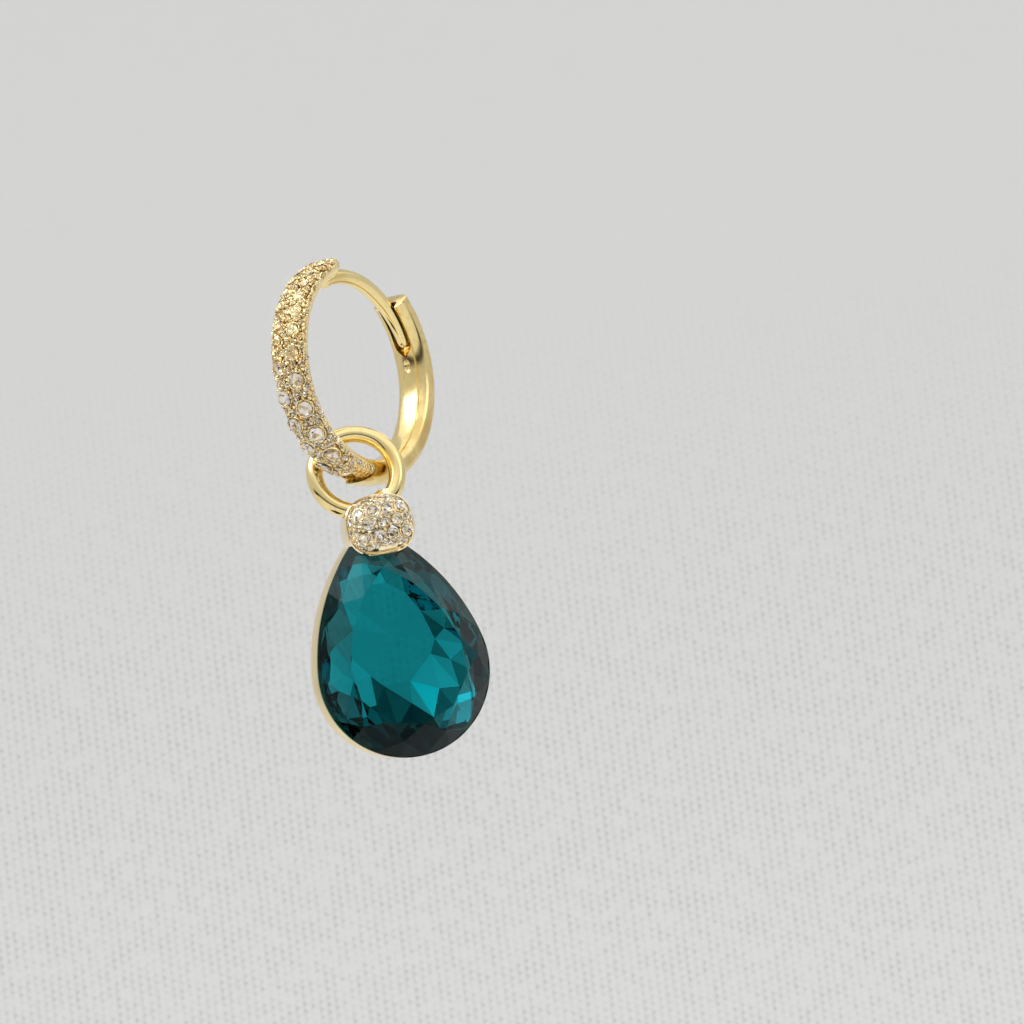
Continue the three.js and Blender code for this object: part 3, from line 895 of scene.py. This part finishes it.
class Tree(Nodes):
    """A Geometry Nodes tree with named inputs."""

    def __init__(self, name, inputs):
        tree = bpy.data.node_groups.new(name, "GeometryNodeTree")
        super().__init__(tree)
        tree.interface.new_socket("Geometry", in_out="INPUT", socket_type="NodeSocketGeometry")
        self.ids = {}
        for label, kind, value in inputs:
            socket = tree.interface.new_socket(label, in_out="INPUT", socket_type=kind)
            if value is not None:
                socket.default_value = value
            self.ids[label] = socket.identifier
        tree.interface.new_socket("Geometry", in_out="OUTPUT", socket_type="NodeSocketGeometry")
        self.given = self.add("NodeGroupInput")
        self.made = self.add("NodeGroupOutput")

    def take(self, *names):
        """The tree's own inputs by name."""
        return [self.given.outputs[name] for name in names]

    def chance(self, low, high, kind="FLOAT"):
        """A random value or vector for each element, from the tree's seed."""
        node = self.add("FunctionNodeRandomValue", data_type=kind)
        sockets = [k for k in node.inputs if k.enabled and k.name in ("Min", "Max")]
        for socket, value in zip(sockets, (low, high)):
            self.feed(socket, value)
        self.join(self.given.outputs["Seed"], node.inputs["Seed"])
        return [k for k in node.outputs if k.enabled][0]

    def glitter(self, geometry):
        """Knocks corners a little out of place and gives each facet a chance brightness."""
        away = self.add("ShaderNodeVectorMath", operation="SCALE")
        self.join(self.chance((-1, -1, -1), (1, 1, 1), "FLOAT_VECTOR"), away.inputs[0])
        self.put(away, Scale=self.given.outputs["Jitter"])
        knocked = self.make("GeometryNodeSetPosition", Geometry=geometry, Offset=away.outputs[0])
        return self.make(
            "GeometryNodeStoreNamedAttribute", data_type="FLOAT", domain="FACE",
            Geometry=knocked, Name="glitter", Value=self.chance(0.0, 1.0),
        )

    def end(self, geometry, last=None):
        """Realize Instances and Set Material close every tree."""
        real = self.make("GeometryNodeRealizeInstances", Geometry=geometry)
        if last:
            real = last(real)
        material = self.given.outputs["Material"]
        painted = self.make("GeometryNodeSetMaterial", Geometry=real, Material=material)
        self.put(self.made, Geometry=painted)

    def run(self, thing, **values):
        modifier = thing.modifiers.new(self.tree.name, "NODES")
        modifier.node_group = self.tree
        for label, value in values.items():
            modifier[self.ids[label.replace("_", " ")]] = value
        return evaluated(thing)

    def scatter(self, shape, last=None):
        """Puts a shape on every point, turned to its facing and by chance about it."""
        named = "GeometryNodeInputNamedAttribute"
        facing = self.make(named, data_type="FLOAT_VECTOR", Name="facing")
        size = self.make(named, data_type="FLOAT", Name="size")
        align = self.make("FunctionNodeAlignRotationToVector", axis="Z", Vector=facing)
        twist = self.make("FunctionNodeAxisAngleToRotation", Angle=self.chance(0.0, math.pi))
        turn = self.make(
            "FunctionNodeRotateRotation", rotation_space="LOCAL", Rotation=align, Rotate_By=twist,
        )
        placed = self.make(
            "GeometryNodeInstanceOnPoints", Points=self.given.outputs["Geometry"],
            Instance=shape, Rotation=turn, Scale=size,
        )
        self.end(placed, last)
        return self

    def moved(self, geometry, lift):
        """The same geometry, at a height."""
        up = self.make("ShaderNodeCombineXYZ", Z=lift)
        return self.make("GeometryNodeTransform", Geometry=geometry, Translation=up)

    def flipped(self, mesh):
        """The same mesh, with its faces turned to be seen from the other side."""
        return self.make("GeometryNodeFlipFaces", Mesh=mesh)

    def welded(self, parts):
        """One mesh from parts that share their edges."""
        whole = self.add("GeometryNodeJoinGeometry")
        for part in parts:
            self.join(part, whole.inputs["Geometry"])
        geometry, near = whole.outputs[0], WELD_DISTANCE
        return self.make("GeometryNodeMergeByDistance", Geometry=geometry, Distance=near)


WELD_DISTANCE = 1e-6
SET_INPUTS = [
    ("Radius", "NodeSocketFloat", MM),
    ("Height", "NodeSocketFloat", 0.11 * MM),
    ("Depth", "NodeSocketFloat", 0.16 * MM),
    ("Sides", "NodeSocketInt", 8),
    ("Seed", "NodeSocketInt", 1),
    ("Material", "NodeSocketMaterial", None),
]


def cone(tree, sides, bottom, top, depth, lift, seen_from_inside=False):
    """An open cone band whose lower edge is at height lift."""
    ends = {"Radius_Top": top, "Radius_Bottom": bottom}
    band = tree.make("GeometryNodeMeshCone", fill_type="NONE", Vertices=sides, Depth=depth, **ends)
    band = tree.moved(band, lift)
    return tree.flipped(band) if seen_from_inside else band


# A small stone's form: shares of its radius, then of its height.
TIER_RADIUS = 0.82
TABLE_RADIUS = 0.55
LOWER_TIER = 0.62
UPPER_TIER = 0.38
FLATNESS = 0.001


def brilliant_tree():
    """A small cut stone: table, two tiers of crown facets and a flat base at its girdle."""
    tree = Tree("set_brilliants", SET_INPUTS)
    radius, height, sides = tree.take("Radius", "Height", "Sides")
    middle, table = tree.times(radius, TIER_RADIUS), tree.times(radius, TABLE_RADIUS)
    low, high = tree.times(height, LOWER_TIER), tree.times(height, UPPER_TIER)
    disc = tree.make("GeometryNodeMeshCircle", fill_type="NGON", Vertices=sides, Radius=table)
    return tree.scatter(tree.welded([
        cone(tree, sides, radius, middle, low, 0.0),
        cone(tree, sides, middle, table, high, low),
        cone(tree, sides, 0.0, radius, FLATNESS * MM, -FLATNESS * MM),
        tree.moved(disc, height),
    ]))


# The tiers of a bright-cut seat: share of its radius, share of its depth.
FOIL_TIERS = ((1.0, 0.0), (0.7, -0.5), (0.35, -0.7), (0.0, -0.9))


def foil_tree():
    """The bright-cut seat under a small stone, which its facets break into sparks."""
    tree = Tree("set_foils", SET_INPUTS + [("Jitter", "NodeSocketFloat", 0.07 * MM)])
    radius, depth, sides = tree.take("Radius", "Depth", "Sides")
    bands = []
    for (top, high), (bottom, low) in zip(FOIL_TIERS, FOIL_TIERS[1:]):
        inner, outer = tree.times(radius, bottom), tree.times(radius, top)
        bands.append(
            cone(tree, sides, inner, outer, tree.times(depth, high - low), tree.times(depth, low))
        )
    split = tree.make("GeometryNodeTriangulate", Mesh=tree.welded(bands))
    return tree.scatter(tree.flipped(split), tree.glitter)


# The gold seat's form: shares of the stone's radius, and its lip's share of its height.
COLLAR_FOOT = 1.08
COLLAR_OUTER = 1.04
COLLAR_INNER = 0.98
COLLAR_BOTTOM = 0.5
COLLAR_LIP = 0.4


def collar_tree():
    """The gold seat round a small stone: a band that opens towards its girdle."""
    tree = Tree("set_collars", SET_INPUTS)
    radius, height, depth, sides = tree.take("Radius", "Height", "Depth", "Sides")
    down = tree.times(depth, -1.0)
    foot, outer = tree.times(radius, COLLAR_FOOT), tree.times(radius, COLLAR_OUTER)
    inner, bottom = tree.times(radius, COLLAR_INNER), tree.times(radius, COLLAR_BOTTOM)
    full = tree.maths("ADD", depth, height)
    lip = tree.times(height, COLLAR_LIP)
    return tree.scatter(tree.welded([
        cone(tree, sides, foot, outer, full, down),
        cone(tree, sides, outer, inner, lip, height),
        cone(tree, sides, bottom, inner, tree.maths("ADD", full, lip), down, True),
    ]))


def bead_tree():
    """Round beads of metal that hold the stones."""
    tree = Tree("set_beads", SET_INPUTS)
    radius = tree.given.outputs["Radius"]
    ball = tree.make("GeometryNodeMeshIcoSphere", Subdivisions=2, Radius=radius)
    return tree.scatter(tree.make("GeometryNodeSetShadeSmooth", Geometry=ball))


def on_skin(x, angle, out, half, squareness, lift):
    """A point on the bar's skin, out from its middle, and the way that it faces."""
    slope = (abs(x) / BAR_HALF_WIDTH) ** (squareness - 1) / BAR_HALF_WIDTH
    rise = (abs(out) / half) ** (squareness - 1) / half
    length = math.hypot(slope, rise)
    way, rise = flat(angle, math.copysign(1, out)), rise / length
    facing = Vector((math.copysign(slope / length, x), rise * way.x, rise * way.y))
    return in_plane(angle, BAR_RADIUS + out, x) + facing * lift, facing


def on_set_face(x, angle, lift=0.0):
    """A point on the stone-set face."""
    half = SET_OUTER_HALF * swell(angle)
    share = abs(x) / BAR_HALF_WIDTH
    out = half * max(0, 1 - share**OUTER_SQUARENESS) ** (1 / OUTER_SQUARENESS)
    return on_skin(x, angle, out, half, OUTER_SQUARENESS, lift)


def on_flank(x, angle, lift=0.0):
    """A point on the side of the front half; |x| runs from 1 at its widest to 2 at its inside."""
    turn = (abs(x) - 1) * math.pi / 2
    power = 2 / INNER_SQUARENESS
    across = math.copysign(BAR_HALF_WIDTH * math.cos(turn) ** power, x)
    out = -BAR_INNER_HALF * math.sin(turn) ** power
    return on_skin(across, angle, out, BAR_INNER_HALF, INNER_SQUARENESS, lift)


def fill(stones, spots):
    """Small stones wherever they fit between the main ones, and beads in the gaps left."""
    taken = [(point, size) for point, facing, size in stones]
    small, beads = [], []
    for radius in FILL_RADII:
        lift = BEAD_LIFT * radius if radius < BEAD_BELOW else 0.0
        for spot in spots:
            point, facing = spot(lift)
            if all((point - q).length > FILL_APART * (radius + size) for q, size in taken):
                taken.append((point, radius))
                (beads if radius < BEAD_BELOW else small).append((point, facing, radius))
    return stones + small, beads


def hoop_rows():
    """The stones along the front half and the small ones and beads between them."""
    stones = []
    (low, small_radius), (high, large_radius) = STONE_GROWTH
    for side, angle in ROW_END.items():
        while angle >= STONE_FIRST:
            share = min(max((angle - low) / (high - low), 0), 1)
            radius = small_radius + share * (large_radius - small_radius)
            point, facing = on_set_face(side * ROW_X, angle)
            stones.append((point, facing, radius))
            angle -= PITCH_PER_RADIUS * radius
    draw = random.Random(FILL_SEED)
    spots = []
    for i in range(HOOP_TRIES):
        x, angle = draw.uniform(-HOOP_SPREAD, HOOP_SPREAD), draw.uniform(*HOOP_SPOTS)
        on_face = on_flank if abs(x) > 1 else on_set_face
        spots.append(lambda lift, x=x, angle=angle, on_face=on_face: on_face(x, angle, lift))
    return fill(stones, spots)


def raised(rows, share):
    """The same rows, lifted off their surface by a share of their size."""
    return [(point + facing * share * size, facing, size) for point, facing, size in rows]


# ---------- the pear ----------
def pear_point(share, grow=0.0):
    """A point on the pear's right side: 0 is the head's bottom, 1 the tip."""
    head, side = HEAD_RADIUS + grow, SIDE_RADIUS + grow
    apart = side - head
    sine = (SIDE_RADIUS**2 - apart**2 - TIP_HEIGHT**2) / (2 * TIP_HEIGHT * apart)
    lean = math.asin(sine)
    centre = Vector((-apart * math.cos(lean), -apart * sine))
    tip_turn = math.acos(-centre.x / side)
    head_length = head * (math.pi / 2 + lean)
    along = share * (head_length + side * (tip_turn - lean))
    if along <= head_length:
        turn = along / head - math.pi / 2
        return Vector((head * math.cos(turn), head * math.sin(turn)))
    turn = lean + (along - head_length) / side
    return centre + Vector((side * math.cos(turn), side * math.sin(turn)))


def pear_outline(count):
    """Points round the pear from its bottom, up its right side and down its left."""
    points = []
    for i in range(count):
        share = 2 * i / count
        point = pear_point(min(share, 2 - share))
        points.append(point if share <= 1 else Vector((-point.x, point.y)))
    return points


BACK_MIDDLE = Vector((-0.3, 3.2))
# The rings of corners on the back: share of the outline, depth behind the girdle.
BACK_RINGS = ((0.78, 1.15), (0.64, 1.65), (0.46, 2.1))
# Painted light and shade: how much the back facets' painted brightness varies by chance, and how
# bright the middle back facets and the girdle are painted.
FACET_LIGHT_SPREAD = (0.35, 1.15)
BACK_MIDDLE_FACET_LIGHT = 0.5
BACK_SEED = 4
BACK_CHANCE = 0.09
GIRDLE_FACET_LIGHT = 0.04
# Painted light and shade: how bright the star, kite and girdle facets of the front are painted, in
# the same order.
FRONT_FACET_LIGHT = (
    (0.25, 0.7, 0.8, 0.9, 0.5, 0.4, 0.9, 1.0, 0.8, 1.0, 0.8, 0.4),
    (0.12, 0.35, 0.4, 0.5, 0.3, 0.3, 0.3, 0.9, 0.5, 1.0, 0.6, 0.15),
    (0.15, 0.15, 0.4, 0.4, 0.3, 0.2, 0.3, 0.4, 0.4, 0.8, 0.5, 0.12),
)
# Painted light and shade: how bright each facet of the back is painted, ring by ring from the
# girdle, from the bottom towards +X.
BACK_FACET_LIGHT = (
    (0.05, 0.1, 0.3, 0.3, 0.15, 0.2, 0.4, 0.8, 0.7, 0.9, 0.8, 0.1),
    (0.06, 0.25, 0.4, 0.5, 0.15, 0.15, 0.4, 0.9, 0.6, 1.0, 1.0, 0.08),
    (1.0, 1.0, 0.6, 0.3, 0.2, 0.3, 0.7, 0.8, 0.8, 1.0, 0.6, 0.12),
)


def pear_stone(material):
    """The cut stone: table, star, kite and girdle facets, then rings of kites on its back."""
    outline = pear_outline(2 * MAIN_FACETS * EDGE_POINTS)
    half = math.cos(math.pi / MAIN_FACETS)
    verts, faces, facet_lights = [], [], []

    def ring(indices, scale, y, middle=Vector((0, FACET_CENTRE_Z))):
        made = []
        for i in indices:
            point = middle + scale * (outline[i] - middle)
            verts.append(PEAR @ Vector((point.x, y, point.y)))
            made.append(len(verts) - 1)
        return made

    def crown_at(scale):
        return -GIRDLE_HALF - CROWN_HEIGHT * (1 - scale * half) / (1 - TABLE_SCALE)

    half_step = EDGE_POINTS
    mains = [2 * half_step * i for i in range(MAIN_FACETS)]
    betweens = [i + half_step for i in mains]
    every = range(2 * half_step * MAIN_FACETS)
    table = ring(mains, TABLE_SCALE, -GIRDLE_HALF - CROWN_HEIGHT)
    stars = ring(betweens, STAR_SCALE, crown_at(STAR_SCALE))
    upper = ring(every, 1, -GIRDLE_HALF)
    lower = ring(every, 1, GIRDLE_HALF)
    faces.append(tuple(table))
    facet_lights.append(1.0)

    def edge_of(girdle, i):
        """The girdle's corners from one main facet to the next."""
        return (girdle + girdle[:1])[mains[i]:mains[i] + 2 * half_step + 1]

    for i in range(MAIN_FACETS):
        star, kite, half_kite = (row[i] for row in FRONT_FACET_LIGHT)
        after, before = (i + 1) % MAIN_FACETS, i - 1
        here, edge = mains[i], edge_of(upper, i)
        faces += [(table[i], stars[i], table[after]), (table[i], stars[before], upper[here])]
        faces += [(table[i], upper[here], stars[i])]
        faces += [(stars[i], *edge[:half_step + 1]), (stars[i], *edge[half_step:])]
        facet_lights += [star, kite, kite, half_kite, 0.8 * half_kite]
    for i in every:
        after = (i + 1) % len(every)
        faces.append((upper[i], lower[i], lower[after], upper[after]))
    facet_lights += [GIRDLE_FACET_LIGHT] * len(every)
    levels = []
    draw = random.Random(BACK_SEED)
    for k, (scale, depth) in enumerate(BACK_RINGS, 1):
        levels.append(ring(betweens if k % 2 else mains, scale, GIRDLE_HALF + depth, BACK_MIDDLE))
        for place in levels[-1]:
            verts[place] += Vector([draw.uniform(-k, k) * BACK_CHANCE for _ in range(3)])
    one, two, three = levels
    for i in range(MAIN_FACETS):
        after, before = (i + 1) % MAIN_FACETS, i - 1
        here, edge = mains[i], edge_of(lower, i)
        rim, outer, inner = (row[i] for row in BACK_FACET_LIGHT)
        faces += [(one[i], *edge[half_step::-1]), (one[i], *edge[:half_step - 1:-1])]
        faces += [(lower[here], one[before], two[i]), (lower[here], two[i], one[i])]
        faces += [(one[i], two[i], three[i]), (one[i], three[i], two[after])]
        faces.append((two[i], three[before], three[i]))
        for tone in (rim, rim, outer, outer, inner, inner, inner):
            facet_lights.append(tone * draw.uniform(*FACET_LIGHT_SPREAD))
    verts.append(sum((verts[k] for k in three), Vector()) / MAIN_FACETS)
    for i in range(MAIN_FACETS):
        faces.append((three[i - 1], three[i], len(verts) - 1))
        facet_lights.append(BACK_MIDDLE_FACET_LIGHT)
    gem = new_object("pear_gem", verts, faces, material)
    # Painted light and shade: each facet's painted brightness, kept on the stone.
    clear = gem.data.attributes.new("painted_facet_light", "FLOAT", "FACE")
    for place, tone in zip(clear.data, facet_lights):
        place.value = tone
    return outward(gem)


WALL_STEPS = 160
WALL_CORNER = 0.06
# The wall's section: how far it stands out of the outline, how far back.
WALL_LIP = (
    (0.0, 0.06), (-0.02, 0.0), (-0.07, -0.04), (-0.14, -0.03), (-0.2, 0.03), (-0.22, 0.12),
    (-WALL_THICKNESS, 0.35),
)
WALL_BACK = (
    (-WALL_THICKNESS, WALL_DEPTH - WALL_CORNER), (-WALL_THICKNESS + WALL_CORNER, WALL_DEPTH),
    (-WALL_CORNER, WALL_DEPTH), (0.0, WALL_DEPTH - WALL_CORNER),
)


def bezel_wall(material):
    """The wall round the stone: an outer face, a rolled front lip and a plain back edge."""
    rings = []
    for i in range(WALL_STEPS):
        where = 2 * i / WALL_STEPS
        ring = []
        for grow, back in WALL_LIP + WALL_BACK:
            point = pear_point(min(where, 2 - where), grow - WALL_INSET)
            x = point.x if where <= 1 else -point.x
            ring.append(PEAR @ Vector((x, back, point.y)))
        rings.append(ring)
    return smooth(loft("bezel", rings, material, closed=True), 40)


# ---------- the cap ----------
# The cap's form from its back to its rim, then over its face: how far forward, share of
# its outline.
CAP_BODY = (
    (-1.1, 0.0), (-1.1, 0.4), (-1.09, 0.74), (-1.0, 0.88), (-0.82, 0.95), (-0.3, 0.99),
    (0.5, 0.99), (1.1, 0.96), (1.38, 0.945), (1.43, 0.92), (1.49, 0.92), (1.53, 0.95),
    (1.6, 0.98), (1.7, 0.98), (1.77, 0.95), (1.76, 0.915),
)
CAP_DOME = (
    (1.74, 0.89), (2.1, 0.85), (2.42, 0.75), (2.66, 0.6), (2.82, 0.42), (2.9, 0.21), (2.92, 0.0),
)
CAP_CHIN = 0.55
CHIN_FROM = 1.2
CAP_STEPS = 96
CHANNEL_SIDES = 24
CHANNEL_STEPS = 96
# The sleeve is the part of a tube round the ring that lies between these corners: Y, Z.
SLEEVE_ROOM = ((-3, -4.5), (3, -4.5), (3, -1.2), (-3, -1.2))
# Limits of the cap's outline for its main stones and for what fills between them.
CAP_STONES_WITHIN = 0.76
CAP_SPOTS_WITHIN = 0.87
CAP_SPOTS = 2500
CAP_SPOT_REACH = 2
CAP_SPOTS_LOWER = 0.2
CAP_LEAST_SHARE = 0.002
# How the chin grows from the middle of the cap's face outwards.
CHIN_RISE = 2.5
CHIN_MIDDLE = 0.5


def cap_reach(turn):
    """How far the cap's outline is from its middle."""
    across = abs(math.cos(turn)) / CAP_HALF_WIDTH
    up = abs(math.sin(turn)) / CAP_HALF_HEIGHT
    return (across**CAP_SQUARENESS + up**CAP_SQUARENESS) ** (-1 / CAP_SQUARENESS)


def chin(turn, share):
    """How much further forward the face stands low down, where it laps over the stone."""
    low = max(0.0, -math.sin(turn))
    return CAP_CHIN * low**3 * min(1.0, max(0.0, CHIN_RISE * (share - CHIN_MIDDLE)))


def cap_body(material):
    """The cap's body with its raised rim and domed face, and the ring's sleeve behind it."""
    rings = []
    for forward, share in CAP_BODY + CAP_DOME:
        ring = []
        for turn in turns(CAP_STEPS):
            reach = cap_reach(turn) * max(share, CAP_LEAST_SHARE)
            front = forward + (chin(turn, share) if forward > CHIN_FROM else 0)
            ring.append(CAP @ Vector((reach * math.cos(turn), -front, reach * math.sin(turn))))
        rings.append(ring)
    body = loft("cap", rings, material)
    sleeve = ring_tube("sleeve", BAIL_RADIUS)
    room = []
    for x in (CAP_CENTRE[0] - BAIL_HALF_WIDTH, CAP_CENTRE[0] + BAIL_HALF_WIDTH):
        room.append([DROP @ Vector((x, y, z)) for y, z in SLEEVE_ROOM])
    cut(sleeve, loft("room", room), "INTERSECT")
    cut(body, sleeve, "UNION")
    cut(body, ring_tube("channel", RING_WIRE_RADIUS + CHANNEL_GAP))
    return smooth(body, 30)


def on_ring(turn, reach=RING_RADIUS, aside=0.0):
    """A point about the drop ring's own axis."""
    lean = Matrix.Rotation(math.radians(-RING_LEAN), 4, "X")
    return DROP @ (lean @ Vector((reach * math.cos(turn), aside, reach * math.sin(turn))))


def ring_tube(name, wire):
    """A round tube along the whole ring."""
    rings = []
    for turn in turns(CHANNEL_STEPS):
        rings.append([
            on_ring(turn, RING_RADIUS + wire * math.cos(bend), wire * math.sin(bend))
            for bend in turns(CHANNEL_SIDES)
        ])
    return loft(name, rings, closed=True)


def cap_face(share):
    """How far forward the cap's dome stands at a share of its outline."""
    for (front_a, share_a), (front_b, share_b) in zip(CAP_DOME, CAP_DOME[1:]):
        if share >= share_b:
            mix = (share_a - min(share, share_a)) / (share_a - share_b)
            return front_a + mix * (front_b - front_a)
    return CAP_DOME[-1][0]


def on_cap(x, z, lift=0.0):
    """A point on the cap's face and the way that it faces."""
    def at(px, pz):
        turn = math.atan2(pz, px)
        share = math.hypot(px, pz) / cap_reach(turn)
        return Vector((px, -cap_face(share) - chin(turn, share), pz))

    step = 0.05
    across = at(x + step, z) - at(x - step, z)
    up = at(x, z + step) - at(x, z - step)
    facing = across.cross(up).normalized()
    return CAP @ (at(x, z) + facing * lift), CAP.to_3x3() @ facing


def cap_rows():
    """The stones over the cap's dome and the small ones and beads between them."""
    def share_at(x, z):
        return math.hypot(x, z) / cap_reach(math.atan2(z, x))

    stones = []
    for row in range(-3, 4):
        for column in range(-3, 4):
            x = (column + (0.5 if row % 2 else 0)) * CAP_STONE_PITCH
            z = row * CAP_STONE_PITCH * math.sin(math.pi / 3)
            if share_at(x, z) <= CAP_STONES_WITHIN and z > CAP_SET_LOW:
                point, facing = on_cap(x, z)
                stones.append((point, facing, CAP_STONE_RADIUS))
    draw = random.Random(FILL_SEED)
    spots = []
    while len(spots) < CAP_SPOTS:
        x, z = (draw.uniform(-CAP_SPOT_REACH, CAP_SPOT_REACH) for axis in "XZ")
        if share_at(x, z) < CAP_SPOTS_WITHIN and z > CAP_SET_LOW - CAP_SPOTS_LOWER:
            spots.append(lambda lift, x=x, z=z: on_cap(x, z, lift))
    return fill(stones, spots)


def wire_tree():
    """Round wire along a path of edges."""
    tree = Tree("round_wire", [
        ("Wire Radius", "NodeSocketFloat", RING_WIRE_RADIUS * MM),
        ("Sides", "NodeSocketInt", WIRE_SIDES),
        ("Material", "NodeSocketMaterial", None),
    ])
    path, radius, sides = tree.take("Geometry", "Wire Radius", "Sides")
    path = tree.make("GeometryNodeMeshToCurve", Mesh=path)
    ring = tree.make("GeometryNodeCurvePrimitiveCircle", Resolution=sides, Radius=radius)
    wire = tree.make("GeometryNodeCurveToMesh", Curve=path, Profile_Curve=ring, Fill_Caps=True)
    tree.end(tree.make("GeometryNodeSetShadeSmooth", Geometry=wire))
    return tree


RING_PATH_STEPS = 128


def ring_path():
    """The middle line of the drop ring's wire, as a closed row of edges."""
    verts = [on_ring(turn) for turn in turns(RING_PATH_STEPS)]
    edges = [(i, (i + 1) % RING_PATH_STEPS) for i in range(RING_PATH_STEPS)]
    return new_object("ring_path", verts, [], edges=edges)


# ---------- everything in its place ----------
def finish(thing, name, body, slot, *nodes):
    thing.name = name
    thing.data.name = name
    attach(thing, body)
    if nodes:
        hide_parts(*nodes)
    return thing


make_camera()
make_world()
bpy.context.scene.view_settings.view_transform = "Standard"
make_stage(sheet_material())
make_light("key", (-0.5, -0.6, 1.0), distance=260, size=190, power=0.3)
make_light("side", (1.0, 0.1, 0.5), distance=260, size=120, power=0.04)
make_card((-0.386, -0.49, -0.82), distance=190, size=(130, 50))

skin = metal_skin_group()
polished_gold = gold(
    "polished_gold", skin, tone=(0.91, 0.74, 0.36), deep=(0.75, 0.53, 0.19),
    roughness=0.13, marks=0.05, ripple=0.005, unevenness=0.5,
)
# Painted shade: a darker copy of the polished gold for the back half, which is also rougher and
# has more wipe marks.
shaded_brushed_gold = gold(
    "shaded_brushed_gold", skin, tone=(0.89, 0.71, 0.33), deep=(0.66, 0.45, 0.15),
    roughness=0.16, marks=0.07, ripple=0.006, unevenness=0.7,
)
set_gold = gold(
    "set_gold", skin, tone=(1.0, 0.87, 0.52), deep=(0.96, 0.75, 0.37),
    roughness=0.16, marks=0.1, ripple=0.006, unevenness=0.6, grains=(5.85, 5.95),
)
pale_gold = gold(
    "pale_gold", skin, tone=(0.98, 0.84, 0.56), deep=(0.9, 0.71, 0.42),
    roughness=0.1, marks=0.06, ripple=0.004, unevenness=0.3,
)
clear_stone = clear_glass("clear_stone")
gold_foil = foil_material(
    "gold_foil", (1.0, 0.98, 0.94), (1.0, 0.88, 0.66), (0.72, 0.52, 0.26), warm=(1.0, 0.86, 0.5),
)
pale_foil = foil_material("pale_foil", (1.0, 0.99, 0.97), (0.98, 0.87, 0.68), (0.5, 0.34, 0.17))
teal_glass = teal_stone("teal_glass")

brilliants = brilliant_tree()
collars = collar_tree()
beads = bead_tree()
wires = wire_tree()
foils = foil_tree()


def set_stones(place, body, metal, slot, foil, stones, grains, seed):
    """Stones, their bright-cut seats, thin rims and the beads between them."""
    high = raised(stones, STONE_LIFT)
    gems = brilliants.run(points_object(place + "_stones", high), Material=clear_stone, Seed=seed)
    finish(gems, place + "_stones", body, "clear_stone")
    seats = points_object(place + "_seats", high)
    seats = foils.run(seats, Material=foil, Sides=SEAT_SIDES, Seed=seed + 1)
    finish(seats, place + "_seats", body, slot)
    rims = points_object(place + "_rims", high)
    rims = collars.run(rims, Material=metal, Height=RIM_HEIGHT * MM, Sides=RIM_SIDES)
    finish(rims, place + "_rims", body, slot)
    balls = beads.run(points_object(place + "_beads", grains), Material=metal, Seed=seed + 2)
    finish(balls, place + "_beads", body, slot)


front = merge("hoop_front", smooth(front_bar(set_gold)), smooth(ear_post(polished_gold)))
finish(front, "hoop_front", "hoop", "set_gold", "front_hoop")
set_stones("hoop", "hoop", set_gold, "set_gold", gold_foil, *hoop_rows(), 3)

back = back_bar(shaded_brushed_gold)
finish(back, "hoop_back", "clasp", "polished_gold", "back_hoop")

ring = wires.run(ring_path(), Material=polished_gold)
finish(ring, "hanging_ring", "ring", "polished_gold", "drop_ring")

setting = merge("pear_mount", bezel_wall(polished_gold), cap_body(pale_gold))
finish(setting, "pear_mount", "pear", "pale_gold", "pear_setting")
set_stones("cap", "pear", pale_gold, "pale_gold", pale_foil, *cap_rows(), 5)

gem = pear_stone(teal_glass)
finish(gem, "pear_gem", "pear", "teal_glass", "pear_stone")

pin = frame["nodes"]["hinge_pin"]
for place in pin.material_slots:
    place.material = polished_gold
